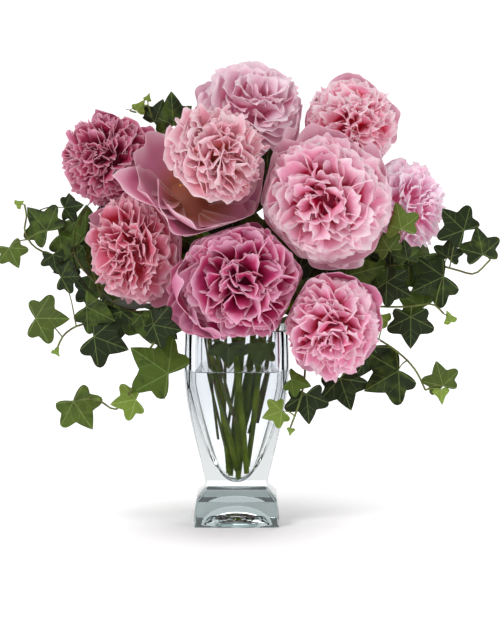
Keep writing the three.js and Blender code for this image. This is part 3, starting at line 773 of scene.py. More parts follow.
# %% Surface of one petal
def petal_surface(layer, turn, draws, extras):
    """Middle surface of one petal over u across and v along, in parts of the bloom's radius."""
    root = math.radians(layer["root"] + ROOT_SPREAD * (next(draws) - 0.5))
    bend = math.radians(layer["tip"] + TIP_SPREAD * (next(draws) - 0.5)) - root
    length = layer["length"] * (1 + LENGTH_SPREAD * (next(draws) - 0.5))
    half = layer["half"] * (1 + WIDTH_SPREAD * (next(draws) - 0.5))
    wave = next(draws) * 2 * math.pi
    flare = math.radians(layer["flare"]) * drawn(extras, *FLARE_DRAW)
    roll = layer["roll"] * 2 * (next(extras) - 0.5)
    sway = SWAY * length * (next(extras) - 0.5)
    dent = next(extras) * 2 * math.pi
    rim = next(extras) * 2 * math.pi
    steps = np.linspace(0, LONGEST, CURVE_STEPS)
    flared = (np.maximum(steps - FLARE_START, 0) / (1 - FLARE_START)) ** FLARE_POWER
    lean_at = root + bend * steps + flare * flared
    stride = length * steps[1]
    out_at = layer["out"] + travelled(np.sin(lean_at), math.sin(root), stride)
    up_at = layer["height"] + travelled(np.cos(lean_at), math.cos(root), stride)
    cosine, sine = math.cos(turn), math.sin(turn)
    tilt_cosine, tilt_sine = math.cos(layer["grows"]), math.sin(layer["grows"])
    twist_cosine, twist_sine = math.cos(layer["twist"]), math.sin(layer["twist"])

    def surface(u, v):
        scallop = sum(share * np.sin(waves * u + times * wave) for waves, times, share in SCALLOPS)
        scallop = layer["fringe"] * v**4 * scallop
        lip = LIP_WAVE * np.cos(5 * u + wave)
        reach = v * (1 - LIP_ROUND * u**2 - CORNER_ROUND * u**6 + lip + scallop)
        reach = np.clip(reach, 0, LONGEST)
        lean = np.interp(reach, steps, lean_at)
        widened = np.sin(np.minimum(WIDTH_END, WIDTH_SPEED * v))
        width = half * (ROOT_WIDTH + (1 - ROOT_WIDTH) * widened)
        round_edge = np.arctan2(u, v - EDGE_MIDDLE)
        near_edge = np.hypot(u, (v - EDGE_MIDDLE) / (1 - EDGE_MIDDLE)) ** 4 * np.clip(2 * v, 0, 1) ** 2
        dents = sum(share * np.sin(over * u + up * v + times * dent) for share, over, up, times in DENTS)
        dents = np.maximum(v, 0) ** DENT_POWER * dents
        ruffles = np.clip(near_edge, 0, RUFFLE_MOST) * np.sin(layer["waves"] * round_edge + rim)
        inward = layer["cup"] * width * u**2 + SKEW * v * u + roll * width * u
        inward = inward + layer["dents"] * dents + layer["ruffle"] * ruffles
        out = np.interp(reach, steps, out_at) - inward * np.cos(lean)
        height = np.interp(reach, steps, up_at) + inward * np.sin(lean)
        side = sway * v**2 - width * u
        rise = height - layer["middle"]
        beside = rise * tilt_sine - out * tilt_cosine
        upright = rise * tilt_cosine + out * tilt_sine
        side, beside = side * twist_cosine - beside * twist_sine, side * twist_sine + beside * twist_cosine
        out = upright * tilt_sine - beside * tilt_cosine
        height = upright * tilt_cosine + beside * tilt_sine + layer["middle"]
        return np.stack([out * cosine - side * sine, out * sine + side * cosine, height], axis=1)

    return surface


# %% [markdown]
# The blade gets its thickness square to its surface, so it is as thin at a fold as on the flat.
# The direction comes from two short steps on the surface, one across and one along.

# %% Thickness of one petal
def petal_points(surface, place, blank):
    """The blank's points laid on a placed surface, half a thickness to each side of it."""
    u, v, side = blank[0].T
    middle = place(surface(u, v))
    across = place(surface(u + NUDGE, v)) - place(surface(u - NUDGE, v))
    along = place(surface(u, v + NUDGE)) - place(surface(u, v - NUDGE))
    normal = np.cross(across, along)
    normal /= np.linalg.norm(normal, axis=1)[:, None] + 1e-9
    return middle + normal * (side * PETAL_THICKNESS)[:, None]


# %% [markdown]
# The layers follow the model: broad guards, then rings of petals. A ring is given by where it
# grows on the bloom's heart and how far its petals lean off the axis at root and tip. Its length
# follows, because its tips have to reach the bloom's outer form. Petals that lean out more at their
# tip than at their root fall back like water from a fountain and show their faces.

# %% Petal layers
GUARD = {
    **PETAL, "count": 5, "out": 0.24, "height": -0.62, "half": 0.58, "blank": GUARD_BLANK, "waves": 6,
}
SHOWING = {**GUARD, "roll": 0.4, "dents": 0.05}
GUARDS = {
    "cupped": {**GUARD, "length": 1.14, "root": 86, "tip": 16},
    "spread": {**GUARD, "count": 6, "length": 1.06, "root": 84, "tip": 58, "half": 0.5},
    "wide": {
        **GUARD, "count": 6, "length": 1, "root": 84, "tip": 38, "half": 0.56, "dents": 0.035,
        "ruffle": 0.022,
    },
}
# A heart's outline is given by distances out and up. Each ring has its count, where it grows and
# how its petals lean at root and tip, in degrees off the axis, how far its tips reach, and the
# half width of a petal. All sizes are parts of the bloom's radius.
HEARTS = {
    "ball": {
        "middle": 0, "radius": 0.62, "inner": 0.42, "rings": [
            (5, 98, 72, 100, 0.97, 0.48), (4, 60, 34, 78, 0.95, 0.46), (2, 24, -8, 40, 0.9, 0.36),
        ],
        "outline": [
            (0.13, -0.74), (0.3, -0.6), (0.42, -0.4), (0.47, -0.2), (0.47, 0), (0.4, 0.22), (0.22, 0.38),
        ],
    },
    "bowl": {
        "middle": 0.3, "radius": 0.46, "inner": 0.3, "rings": [
            (6, 98, 80, 114, 0.74, 0.36), (5, 56, 30, 70, 0.74, 0.33), (2, 20, -10, 20, 0.73, 0.28),
        ],
        "outline": [
            (0.13, -0.74), (0.4, -0.68), (0.42, -0.63), (0.16, -0.5), (0.12, -0.2), (0.16, 0.04),
            (0.24, 0.22), (0.2, 0.4), (0.1, 0.5),
        ],
    },
}


def layer_on(radius, middle, entry, **more):
    """Petals that grow on a heart. Their length is such that their tips reach their ring."""
    count, grows, root, tip, reach, half = entry
    out, rise = radius * math.sin(math.radians(grows)), radius * math.cos(math.radians(grows))
    low, high = math.radians(root), math.radians(tip)
    across = (math.cos(low) - math.cos(high)) / (high - low)
    up = (math.sin(high) - math.sin(low)) / (high - low)
    square, linear = across**2 + up**2, out * across + rise * up
    length = (math.sqrt(linear**2 + square * (reach**2 - radius**2)) - linear) / square
    values = {"count": count, "out": out, "height": rise + middle, "length": length, "half": half}
    leans = {"root": root, "tip": tip, "middle": middle}
    return {**PETAL, **values, **leans, "blank": BROAD_BLANK, **more}


# %% [markdown]
# Between the rings stands a crowd of narrow petals. They are spread over the heart like the seeds
# of a sunflower, which never line up, and each is turned and leans its own way. At the back they
# are shorter, so that the guards cover them.

# %% Crowd of inner petals
RING_PETAL = {"dents": 0.035, "ruffle": 0.03, "fringe": 0.03, "cup": 0.25}
CROWD_PETAL = {"dents": 0.03, "ruffle": 0.026, "roll": 0.35, "flare": 15}
# Each crowd: how many petals, how many degrees off the axis the last one grows, their half width
# from first to last, how far they reach, their fringe, how many degrees they are turned at most
# from first to last, and how much shorter the last ones are.
CROWDS = {
    "pompon": (150, 118, (0.15, 0.21), 0.96, 0.07, (60, 14), 0),
    "full": (105, 116, (0.18, 0.33), 0.95, 0.05, (60, 12), 0),
    "rosette": (100, 112, (0.16, 0.44), 0.95, 0.035, (70, 10), 0),
    "cup": (60, 114, (0.2, 0.46), 0.94, 0.02, (50, 10), 0),
    "mound": (110, 116, (0.17, 0.32), 0.78, 0.035, (70, 14), 0.2),
}
GOLDEN_TURN = math.pi * (3 - math.sqrt(5))
SHAKE = {"grows": 14, "way": 0.5, "half": 0.5, "reach": 0.1, "root": 24, "tip": 50}
LEAST_GROWS = 4
LUMPS = 0.03
BACK_TUCK = 0.12
ROOT_LEAN = -26
TIP_LEAN = 12
BROAD_HALF = 0.24


def crowd_layers(crowd, heart, draws):
    """One layer for each inner petal, spread evenly over the heart and then shaken, with its way."""
    count, widest, (inner, outer), furthest, fringe, (twist_first, twist_last), tuck = crowd
    bulge = next(draws) * 2 * math.pi
    cap = 1 - math.cos(math.radians(widest))
    for index in range(count):
        share = (index + 0.5) / count
        shake = {key: most * (next(draws) - 0.5) for key, most in SHAKE.items()}
        grows = max(math.degrees(math.acos(1 - share * cap)) + shake["grows"], LEAST_GROWS)
        way = GOLDEN_TURN * index + shake["way"]
        half = (inner + (outer - inner) * share) * (1 + shake["half"])
        reach = furthest * (1 + shake["reach"] + LUMPS * math.sin(3 * way + bulge))
        reach *= 1 - tuck * share**2 - BACK_TUCK * share**6
        root = grows + ROOT_LEAN + shake["root"]
        tip = grows + TIP_LEAN + shake["tip"]
        twist = math.radians(twist_first + (twist_last - twist_first) * share)
        yield way, layer_on(
            heart["inner"], heart["middle"], (1, grows, root, tip, reach, half), **CROWD_PETAL,
            fringe=fringe, blank=BROAD_BLANK if half > BROAD_HALF else SMALL_BLANK,
            twist=twist * 2 * (next(draws) - 0.5), grows=math.radians(grows),
        )


# %% [markdown]
# Stamens are fine threads with a thicker head. They stand round the foot of the open bloom's mound
# and end between its petals. A thread is a tube: rings of points set square to a path, one after
# the other, which is how stems and stalks are made further on as well.

# %% Stamens and tubes
# A stamen ends at an angle off the axis and at a distance, and bows up at its middle: the least
# of each and what a draw adds. Its steps are shares of its length, its radii millimetres.
STAMEN_ANGLE, STAMEN_REACH, STAMEN_BOW = (104, 26), (0.5, 0.14), (0.04, 0.06)
STAMEN_ROOT, STAMEN_DROP, STAMEN_WAVER = 0.1, 0.22, 0.06
STAMEN_STEPS = [0, 0.3, 0.6, 0.86, 0.9, 0.97, 1]
STAMEN_RADII = [0.4, 0.35, 0.35, 0.35, 0.95, 1.05, 0.5]
STAMEN_SIDES = 4


def stamen_paths(count, heart, draws):
    """Fine threads that stand out under the mound, each with its thicker head at the last steps."""
    for index in range(count):
        way = GOLDEN_TURN * index
        angle = math.radians(drawn(draws, *STAMEN_ANGLE))
        reach = drawn(draws, *STAMEN_REACH)
        end = np.array([reach * math.sin(angle), heart["middle"] + reach * math.cos(angle)])
        start = np.array([STAMEN_ROOT, end[1] - STAMEN_DROP])
        bow = np.array([STAMEN_WAVER * (next(draws) - 0.5), drawn(draws, *STAMEN_BOW)])
        share = np.array(STAMEN_STEPS)[:, None]
        out, height = (start + (end - start) * share + bow * 4 * share * (1 - share)).T
        yield np.stack([out * math.cos(way), out * math.sin(way), height], axis=1)


def tube(path, radii, sides):
    """Rings of points square to a path, with end caps, as points and faces."""
    path, radii = np.asarray(path, float), np.broadcast_to(radii, len(path))
    along = np.gradient(path, axis=0)
    along /= np.linalg.norm(along, axis=1)[:, None]
    across = np.cross(along[0], (1, 0, 0) if abs(along[0][2]) > 0.9 else (0, 0, 1))
    angle = 2 * np.pi * np.arange(sides) / sides
    rings = []
    for point, way, radius in zip(path, along, radii):
        across = across - way * (across @ way)
        across /= np.linalg.norm(across)
        beside = np.cross(way, across)
        rings.append(point + radius * (np.outer(np.cos(angle), across) + np.outer(np.sin(angle), beside)))
    return np.vstack(rings), loft_faces(len(rings), sides)


# %% [markdown]
# At a bloom's middle sits a plain closed heart, which hardly shows but keeps light from coming
# through between the petals. Heart, rings, guards given one by one, crowd and stamens are gathered as
# one piece, because they grow together.

# %% One bloom as a piece
CORE_SIDES = 20
SMOOTH_PETAL = 60
EXTRA_SEED = 300
TONE_STEP = 7.31


def core_points(outline, place):
    """The bloom's closed heart, as points and faces, which keeps light from showing through."""
    angle = 2 * np.pi * np.arange(CORE_SIDES) / CORE_SIDES
    rings = []
    for out, height in outline:
        level = np.full(CORE_SIDES, height)
        rings.append(np.stack([out * np.cos(angle), out * np.sin(angle), level], axis=1))
    return place(np.vstack(rings)), loft_faces(len(rings), CORE_SIDES)


def bloom_piece(name):
    """One bloom as one mesh: its heart, its guards, its inner petals and its stamens."""
    bloom = BLOOMS[name]
    heart = HEARTS[bloom["heart"]]
    centre, girth = np.array(bloom["centre"], float), np.array([*bloom["girth"], 1])
    stand = standing_on(facing_vector(*bloom["facing"]))
    limits = limits_of(bloom)

    def place(points):
        return within_limits(points * bloom["radius"] * girth @ stand.T + centre, centre, limits)

    draws, extras = seeded(bloom["seed"]), seeded(bloom["seed"] + EXTRA_SEED)
    gathering = Gathering("u", "v", "tone", "depth", "guard", "gold")
    gathering.take(*core_points(heart["outline"], place), u=0.5, v=0, tone=0, depth=1, guard=1, gold=0)
    petals = []
    rings = [layer_on(heart["radius"], heart["middle"], entry, **RING_PETAL) for entry in heart["rings"]]
    for level, layer in enumerate([GUARDS[bloom["guards"]], *rings]):
        for count in range(layer["count"]):
            way = 2 * math.pi * (count + 0.5 * level + 0.3 * next(draws)) / layer["count"]
            petals.append((petal_surface(layer, way, draws, extras), layer, float(level == 0)))
    for way, length, half, root, tip in bloom.get("showing", ()):
        layer = {**SHOWING, "length": length, "half": half, "root": root, "tip": tip}
        petals.append((petal_surface(layer, math.radians(way), extras, extras), layer, 1.0))
    for way, layer in crowd_layers(CROWDS[bloom["crowd"]], heart, extras):
        petals.append((petal_surface(layer, way, extras, extras), layer, 0.0))
    for index, (surface, layer, guard) in enumerate(petals):
        points = petal_points(surface, place, layer["blank"])
        u, v, _ = layer["blank"][0].T
        gathering.take(
            points, layer["blank"][1], u=u * 0.5 + 0.5, v=v, tone=(TONE_STEP * index) % 1.0,
            depth=1 - min(layer["out"], 1), guard=guard, gold=0,
        )
    for index, path in enumerate(stamen_paths(bloom.get("stamens", 0), heart, extras)):
        points, faces = tube(place(path), STAMEN_RADII, STAMEN_SIDES)
        tone = (TONE_STEP * index) % 1.0
        gathering.take(points, faces, u=0.5, v=0.5, tone=tone, depth=0, guard=0, gold=1)
    piece = gathering.piece(name, "petal")
    shade_by_angle(piece, SMOOTH_PETAL)
    return piece


print("inner petals of each crowd", {name: row[0] for name, row in CROWDS.items()})

# %% [markdown]
# A petal is deep at its root and pale at its lip. Fine veins fan out along it, which the petal's
# own map follows, and no two petals are quite the same pink. Light also passes through it, so a
# share of the shader is skin-like scattering. It also glows faintly in its own colour, which is
# painted light that lifts the shade between petals. The broad guards have colours of their own.

# %% Petal finish
RIM_HIGHLIGHT_COLOUR, STAMEN_DARK, STAMEN_LIGHT = paint(252, 226, 234), paint(222, 140, 70), paint(240, 190, 90)
VEINS_ACROSS, VEINS_ALONG, VEINS_APART = 14, 1.6, 40
PATCH_SCALE = 60.0
# How far depth in the bloom, the petal's own tone and soft patches move its colour up or down. Depth
# in the bloom darkens inner petals, partly as their own deeper colour and partly as painted shade.
DEPTH_SHADE_SHARE, TONE_SHARE, PATCH_SHARE = 0.2, 0.25, 0.45
RIM_HIGHLIGHT_SHARE, VEIN_SHARE, GUARD_LIP_SHARE = 0.3, 0.18, 0.5
# Where one colour passes into the next on an inner petal and on a guard, from root to lip.
HEART_TO_BODY, BODY_TO_LIP = (0.05, 0.5), (0.5, 1.0)
ROOT_TO_BLADE, BLADE_TO_LIP = (0.1, 0.6), (0.6, 1.0)
RIM_HIGHLIGHT_RANGE, VEIN_RANGE = (0.3, 1.3), (0.45, 0.8)


def petal_finish(name, heart, body, lip, guard_root, guard_blade):
    finish = Finish(name)
    across, along = finish.uv("petal")
    tone, depth = finish.value("tone"), finish.value("depth")
    side = abs(across - 0.5) * 2
    spread = {"X": across * VEINS_ACROSS, "Y": along * VEINS_ALONG, "Z": tone * VEINS_APART}
    veins = finish.noise(finish.add("CombineXYZ", None, spread), 1.0, 3)
    patches = finish.noise(finish.place(), PATCH_SCALE, 2)
    # Deeper in the bloom the colour is darker: partly the inner petals' own colour, partly painted shade.
    rise = along - depth * DEPTH_SHADE_SHARE + (tone - 0.5) * TONE_SHARE + (patches - 0.5) * PATCH_SHARE
    colour = finish.mix(rise.step(*HEART_TO_BODY), heart, body)
    colour = finish.mix(rise.step(*BODY_TO_LIP), colour, lip)
    broad = finish.mix(along.step(*ROOT_TO_BLADE), guard_root, guard_blade)
    broad = finish.mix(along.step(*BLADE_TO_LIP) * GUARD_LIP_SHARE, broad, lip)
    colour = finish.mix(finish.value("guard"), colour, broad)
    stamen = finish.mix(tone, STAMEN_DARK, STAMEN_LIGHT)
    colour = finish.mix(finish.value("gold"), colour, stamen)
    # A pale edge and tip: partly the petal's own pale rim, partly a painted highlight.
    rim = (side**5 + along**8).step(*RIM_HIGHLIGHT_RANGE)
    colour = finish.mix(rim * RIM_HIGHLIGHT_SHARE, colour, RIM_HIGHLIGHT_COLOUR)
    colour = finish.mix(veins.step(*VEIN_RANGE) * VEIN_SHARE, colour, heart)
    # Emission in the petal's own colour is painted light, which lifts the shade between petals.
    sockets = {
        "Base Color": colour, "Roughness": 0.6 - veins * 0.12, "Subsurface Weight": 0.5,
        "Subsurface Radius": (1.0, 0.5, 0.6), "Subsurface Scale": 0.003, "Specular IOR Level": 0.25,
        "Emission Color": colour, "Emission Strength": 0.05, "Normal": finish.bump(veins, 0.25, 0.0006),
    }
    return finish.principled(sockets)


# %% [markdown]
# The nine blooms range from deep to pale pink, and the open one is warm at its base, as if peach
# shone through. An inner petal passes through three colours from root to lip. A guard passes
# through two of its own and takes on a little of the lip's.

# %% Colours of the nine blooms
# The record's slot, the heart, body and lip of the inner petals, and root and blade of the guards.
PETAL_COLOURS = {
    "left_high": (
        "petal_rose", (142, 12, 56), (166, 54, 90), (220, 142, 168), (140, 36, 74), (176, 78, 118),
    ),
    "left_low": (
        "petal_rose", (200, 52, 72), (210, 106, 130), (244, 184, 198), (180, 70, 90), (204, 124, 158),
    ),
    # The open bloom's brown guard root is partly its own warm base and partly painted shade inside its bowl
    # of guards.
    "open_centre": (
        "petal_blush", (200, 100, 84), (228, 154, 170), (250, 212, 220), (148, 84, 66), (206, 132, 162),
    ),
    "top": (
        "petal_pale", (216, 126, 156), (236, 188, 206), (253, 228, 238), (206, 124, 158), (238, 186, 206),
    ),
    "right_high": (
        "petal_pale", (212, 36, 72), (242, 156, 178), (254, 228, 238), (200, 60, 100), (238, 166, 190),
    ),
    "right_front": (
        "petal_pale", (202, 24, 84), (238, 156, 184), (254, 222, 234), (190, 60, 100), (232, 172, 192),
    ),
    # right_far is paler than the other rose blooms: partly its own pale pink, partly painted light that lifts
    # the shade it stands in.
    "right_far": (
        "petal_rose", (246, 140, 184), (255, 206, 230), (255, 240, 250), (236, 136, 180), (255, 200, 226),
    ),
    "low_centre": (
        "petal_deep", (150, 10, 66), (184, 50, 106), (242, 170, 200), (140, 26, 72), (178, 74, 118),
    ),
    "low_right": (
        "petal_rose", (205, 40, 82), (232, 132, 168), (252, 206, 224), (190, 60, 100), (220, 126, 166),
    ),
}

for bloom_name, (slot, *colours) in PETAL_COLOURS.items():
    finish = petal_finish("petal_" + bloom_name, *[paint(*colour) for colour in colours])
    finished(bloom_piece(bloom_name), "bloom_" + bloom_name, slot, finish)

# %% [markdown]
# Stems cross in the water as the florist's hand turned them: each is a straight line whose foot is
# turned a quarter round the bunch from its place at the mouth. Outside they bow up from the mouth to
# the neck under their bloom. A tube whose rings stand square to a smooth path is the right way for
# stems of any kind.

# %% Stem paths
MOUTH_LEVEL = 206
BUNCH_LEVEL = 52
BUNCH_SCALE = 0.42
FOOT_START = 2
FOOT_STEP = 0.25
FOOT_ROOM = 1.2
CLEARANCE = 0.3
PEONY_STEM_RADIUS = 3
IVY_STEM_RADIUS = 1.5
BASE_DEPTH = 0.74


def bunch_point(mouth, height):
    """Where a stem that crosses the mouth at a place is at another height."""
    rise = (height - BUNCH_LEVEL) / (MOUTH_LEVEL - BUNCH_LEVEL)
    x, y = mouth
    low = (-y * BUNCH_SCALE, x * BUNCH_SCALE)
    return np.array([low[0] + (x - low[0]) * rise, low[1] + (y - low[1]) * rise, height])


def foot_point(mouth, radius, lift):
    """Lowest place where a stem fits inside the bowl, and a lift above it."""
    height = BOWL_FLOOR + FOOT_START
    room = radius * FOOT_ROOM + CLEARANCE
    while np.hypot(*bunch_point(mouth, height)[:2]) + room >= bowl_half(height):
        height += FOOT_STEP
    return bunch_point(mouth, height + lift)


# %% [markdown]
# A curve through uneven points can loop where two of them lie close. Timing it by the root of each
# distance avoids that. It is then cut into equal steps, so that the rings of a tube are even.

# %% Smooth curves
CURVE_CUTS = 24


def centripetal(points, spacing):
    """Smooth curve through uneven points, cut into equal steps of about the spacing."""
    points = np.asarray(points, float)
    ends = np.vstack([2 * points[0] - points[1], points, 2 * points[-1] - points[-2]])
    path = []
    for a, b, c, d in zip(ends, ends[1:], ends[2:], ends[3:]):
        knots = np.cumsum([0, *[np.linalg.norm(q - p) ** 0.5 for p, q in ((a, b), (b, c), (c, d))]])
        t = np.linspace(knots[1], knots[2], CURVE_CUTS, endpoint=False)[:, None]

        def blend(p, q, low, high):
            return p + (q - p) * (t - low) / (high - low)

        ab, bc, cd = blend(a, b, *knots[:2]), blend(b, c, *knots[1:3]), blend(c, d, *knots[2:])
        abc, bcd = blend(ab, bc, knots[0], knots[2]), blend(bc, cd, knots[1], knots[3])
        path.append(blend(abc, bcd, knots[1], knots[2]))
    path = np.vstack([*path, points[-1:]])
    return evenly(path, spacing)


def evenly(path, spacing):
    """The same path in equal steps."""
    lengths = np.concatenate([[0], np.cumsum(np.linalg.norm(np.diff(path, axis=0), axis=1))])
    places = np.linspace(0, lengths[-1], max(int(round(lengths[-1] / spacing)), 2) + 1)
    return np.stack([np.interp(places, lengths, path[:, axis]) for axis in range(3)], axis=1)


# %% [markdown]
# Stems and leaves pass by the blooms instead of through them. A point that lies inside a bloom's
# ball moves out to the ball's surface, straight away from its centre.

# %% Clear of the blooms
BALL_MARGIN = 6


def clear_of_blooms(points, own=None):
    """Moves points out of every bloom's ball, apart from their own bloom's."""
    points = np.array(points, float)
    for bloom in BLOOMS.values():
        if bloom is own:
            continue
        offset = points - bloom["centre"]
        distance = np.linalg.norm(offset, axis=1)[:, None]
        reach = bloom["radius"] * max(bloom["girth"]) + BALL_MARGIN
        points = np.where(distance < reach, bloom["centre"] + offset * reach / distance, points)
    return points


middle_foot = foot_point((0, 0), PEONY_STEM_RADIUS, 0)
print("an upright stem would stand", round(middle_foot[2] - BOWL_FLOOR, 2), "mm above the bowl's floor")

# %% [markdown]
# A peony stem is smooth, green and as thick as a pencil. Under the bloom it widens to a cup, and
# four green sepals stand out from the cup. A sepal is shaped like a petal, so it is one: the same
# formula on a smaller blank, leaning out level.

# %% Peony stems
NECK_LENGTH = 22
# The cup's rings: their depth under the bloom and their radius.
CUP_RINGS = [(14, PEONY_STEM_RADIUS + 0.4), (9, 5), (5, 6.2), (2, 6.9), (0, 7)]
CUP_END = CUP_RINGS[0][0]
CUP_CLEAR = 3
STEM_BOW = (0, 6, 4)
STEM_SPACING = 8
STEM_STEPS = 14
STEM_SIDES = 12
SEPAL = {**PETAL, "out": 0.16, "height": -0.16, "length": 1, "half": 0.42, "root": 88, "tip": 112}
SEPAL_COUNT = 4
SEPAL_SIZE = 20
SEPAL_SEED = 50
SEPAL_BLANK = petal_blank(8, 8)
MOUTHS = {
    "left_high": (-22, 18), "left_low": (-34, -4), "open_centre": (0, -4), "top": (8, 16),
    "right_high": (22, 26), "right_front": (18, -6), "right_far": (34, 12), "low_centre": (-4, -26),
    "low_right": (26, -28),
}


def stem_piece(name):
    """A stem from its foot in the water to its bloom, with its cup and sepals, as one mesh."""
    bloom = BLOOMS[name]
    axis = np.array(facing_vector(*bloom["facing"]))
    top = np.array(bloom["centre"]) - axis * (BASE_DEPTH * bloom["radius"] + CLEARANCE)
    mouth = bunch_point(MOUTHS[name], MOUTH_LEVEL)
    neck = top - axis * NECK_LENGTH
    bow = (mouth + neck) / 2 + STEM_BOW
    outside = clear_of_blooms(centripetal([mouth, bow, neck, top], STEM_SPACING), bloom)
    outside = outside[np.linalg.norm(outside - top, axis=1) > CUP_END + CUP_CLEAR]
    foot = foot_point(MOUTHS[name], PEONY_STEM_RADIUS, 0)
    inside = np.linspace(foot, mouth, STEM_STEPS)[:-1]
    cup = [top - axis * depth for depth, _ in CUP_RINGS]
    radii = [PEONY_STEM_RADIUS] * (len(inside) + len(outside)) + [radius for _, radius in CUP_RINGS]
    gathering = Gathering("leafy")
    gathering.take(*tube(np.vstack([inside, outside, cup]), radii, STEM_SIDES), leafy=0)
    turn = standing_on(Vector(axis))
    draws, extras = seeded(bloom["seed"] + SEPAL_SEED), seeded(bloom["seed"] + EXTRA_SEED)
    for count in range(SEPAL_COUNT):
        surface = petal_surface(SEPAL, 2 * math.pi * count / SEPAL_COUNT, draws, extras)
        points = petal_points(surface, lambda points: points * SEPAL_SIZE @ turn.T + top, SEPAL_BLANK)
        gathering.take(points, SEPAL_BLANK[1], leafy=1)
    piece = gathering.piece("stem")
    shade_by_angle(piece, SMOOTH_PETAL)
    return piece


# %% [markdown]
# The green of a stem has soft patches, and fine streaks that run along it. A noise stretched along
# the height is enough for the streaks, because the stems stand nearly upright. Their shine is kept
# weak, because under water a stem hardly shines.

# %% Stem finish
STEM_DARK, STEM_LIGHT = paint(80, 102, 20), paint(134, 156, 42)
STEM_STREAK, SEPAL_GREEN = paint(44, 60, 10), paint(70, 100, 36)
STEM_PATCH_SCALE = 45.0
STREAK_SCALE = (900, 900, 60)
STREAK_SHARE, SEPAL_SHARE = 0.4, 0.6


def stem_finish():
    finish = Finish("stem_green")
    place = finish.place()
    patches = finish.noise(place, STEM_PATCH_SCALE, 3)
    upright = finish.add("Mapping", None, {"Vector": place, "Scale": STREAK_SCALE})
    streaks = finish.noise(upright, 1.0, 2)
    colour = finish.mix(patches.step(0.35, 0.7), STEM_DARK, STEM_LIGHT)
    colour = finish.mix(streaks.step(0.4, 0.8) * STREAK_SHARE, colour, STEM_STREAK)
    colour = finish.mix(finish.value("leafy") * SEPAL_SHARE, colour, SEPAL_GREEN)
    sockets = {
        "Base Color": colour, "Roughness": 0.5 + patches * 0.15, "Subsurface Weight": 0.1,
        "Subsurface Scale": 0.001, "IOR": 1.12, "Normal": finish.bump(streaks, 0.15, 0.0003),
    }
    return finish.principled(sockets)


stem_green = stem_finish()
for bloom_name in BLOOMS:
    finished(stem_piece(bloom_name), "stem_" + bloom_name, "stem_green", stem_green)

# %% [markdown]
# An ivy leaf has five lobes. One leaf is modelled as a hand would start it: a disc whose rim takes
# the leaf's outline, with rings inset towards the stalk's end so that it can bend. It is given a
# thin wall, and then each leaf on the trails is a copy of it, folded along its midrib, drooped at
# its tip and waved a little at its lobes, no two alike.

# %% Ivy leaf blank
LEAF_SIDES = 52
LEAF_CENTRE = np.array([0, 0.16])
LEAF_HALF = [
    (0, 0.82), (0.08, 0.72), (0.16, 0.6), (0.21, 0.51), (0.24, 0.45), (0.32, 0.44), (0.43, 0.44),
    (0.54, 0.41), (0.6, 0.33), (0.57, 0.23), (0.49, 0.14), (0.42, 0.08), (0.44, 0), (0.46, -0.1),
    (0.4, -0.2), (0.28, -0.19), (0.16, -0.13), (0.06, -0.06), (0, -0.02),
]
YOUNG_HALF = [
    (0, 0.8), (0.1, 0.6), (0.2, 0.38), (0.32, 0.24), (0.45, 0.08), (0.34, -0.05), (0.2, -0.1),
    (0.08, -0.06), (0, -0.02),
]
YOUNG_LENGTH = 20
OUTLINE_STEPS, OUTLINE_SPACING = 6, 0.001
RING_WIDTHS = (0.12, 0.24, 0.26)


def leaf_outline(half):
    """Rim points of a leaf, from its tip round its right side and back up its left side."""
    deep = np.pad(smooth_path(half, OUTLINE_STEPS), ((0, 0), (0, 1)))
    right = evenly(deep, OUTLINE_SPACING)[:, :2]
    share = np.linspace(0, 1, LEAF_SIDES // 2 + 1)
    lengths = np.linspace(0, 1, len(right))
    right = np.stack([np.interp(share, lengths, right[:, axis]) for axis in (0, 1)], axis=1)
    left = right[1:-1][::-1] * (-1, 1)
    return np.vstack([right, left])


def leaf_blank():
    """Walled disc with inset rings: each point's place on the rim, its reach and its side, and faces."""
    deselect()
    bpy.ops.mesh.primitive_circle_add(vertices=LEAF_SIDES, radius=1, fill_type="NGON")
    blank = bpy.context.object

    def add_rings():
        bpy.ops.mesh.select_all(action="SELECT")
        for width in RING_WIDTHS:
            bpy.ops.mesh.inset(thickness=width)
        bpy.ops.mesh.poke()

    in_edit_mode("FACE", add_rings)
    points, faces = walled(blank)
    turn = np.arctan2(points[:, 0], points[:, 1]) % (2 * np.pi)
    rim = np.round(turn * LEAF_SIDES / (2 * np.pi)).astype(int) % LEAF_SIDES
    print("leaf blank has", len(faces), "faces")
    return rim, np.hypot(points[:, 0], points[:, 1]), points[:, 2], faces


RIM, REACH, SIDE, LEAF_FACES = leaf_blank()
ADULT_OUTLINE, YOUNG_OUTLINE = leaf_outline(LEAF_HALF), leaf_outline(YOUNG_HALF)

# %% [markdown]
# Every leaf hangs its own way. Its blade is laid out from its middle, folded down along the
# midrib and drooped towards both ends, and waves grow towards its rim. A leaf that would stand in
# a bloom is pressed against the bloom instead.

# %% Leaf in its place
LEAF_FOLD = 0.22
LEAF_DROOP = 0.16
LEAF_MIDDLE = 0.3
LEAF_THICKNESS = 0.45
# Waves over a leaf: how high, how many round it and the power by which they grow to its rim.
LEAF_WAVES = [(0.022, 5, 2), (0.012, 11, 3)]
LEAF_RIBS, RIB_TURNS = 0.012, 5.2


def leaf_frame(entry):
    """A leaf's middle, its length and its ways across, along and out of the blade."""
    x, y, z, length, turn, side, rise = entry[:7]
    normal = facing_vector(side, rise)
    right = normal.cross(UP).normalized()
    up = right.cross(normal).normalized()
    turn = math.radians(turn)
    along = up * math.cos(turn) + right * math.sin(turn)
    across = along.cross(normal)
    return np.array([x, y, z], float), length, np.array(across), np.array(along), np.array(normal)


def leaf_place(entry, wide, far, lift=0.0):
    """A place on the folded and drooping blade, from shares of its length."""
    middle, length, across, along, normal = leaf_frame(entry)
    wide, far = np.atleast_1d(wide).astype(float), np.atleast_1d(far).astype(float)
    reach = far - LEAF_MIDDLE
    sink = LEAF_FOLD * np.abs(wide) + LEAF_DROOP * reach**2 - lift
    return middle + length * (np.outer(wide, across) + np.outer(reach, along) - np.outer(sink, normal))


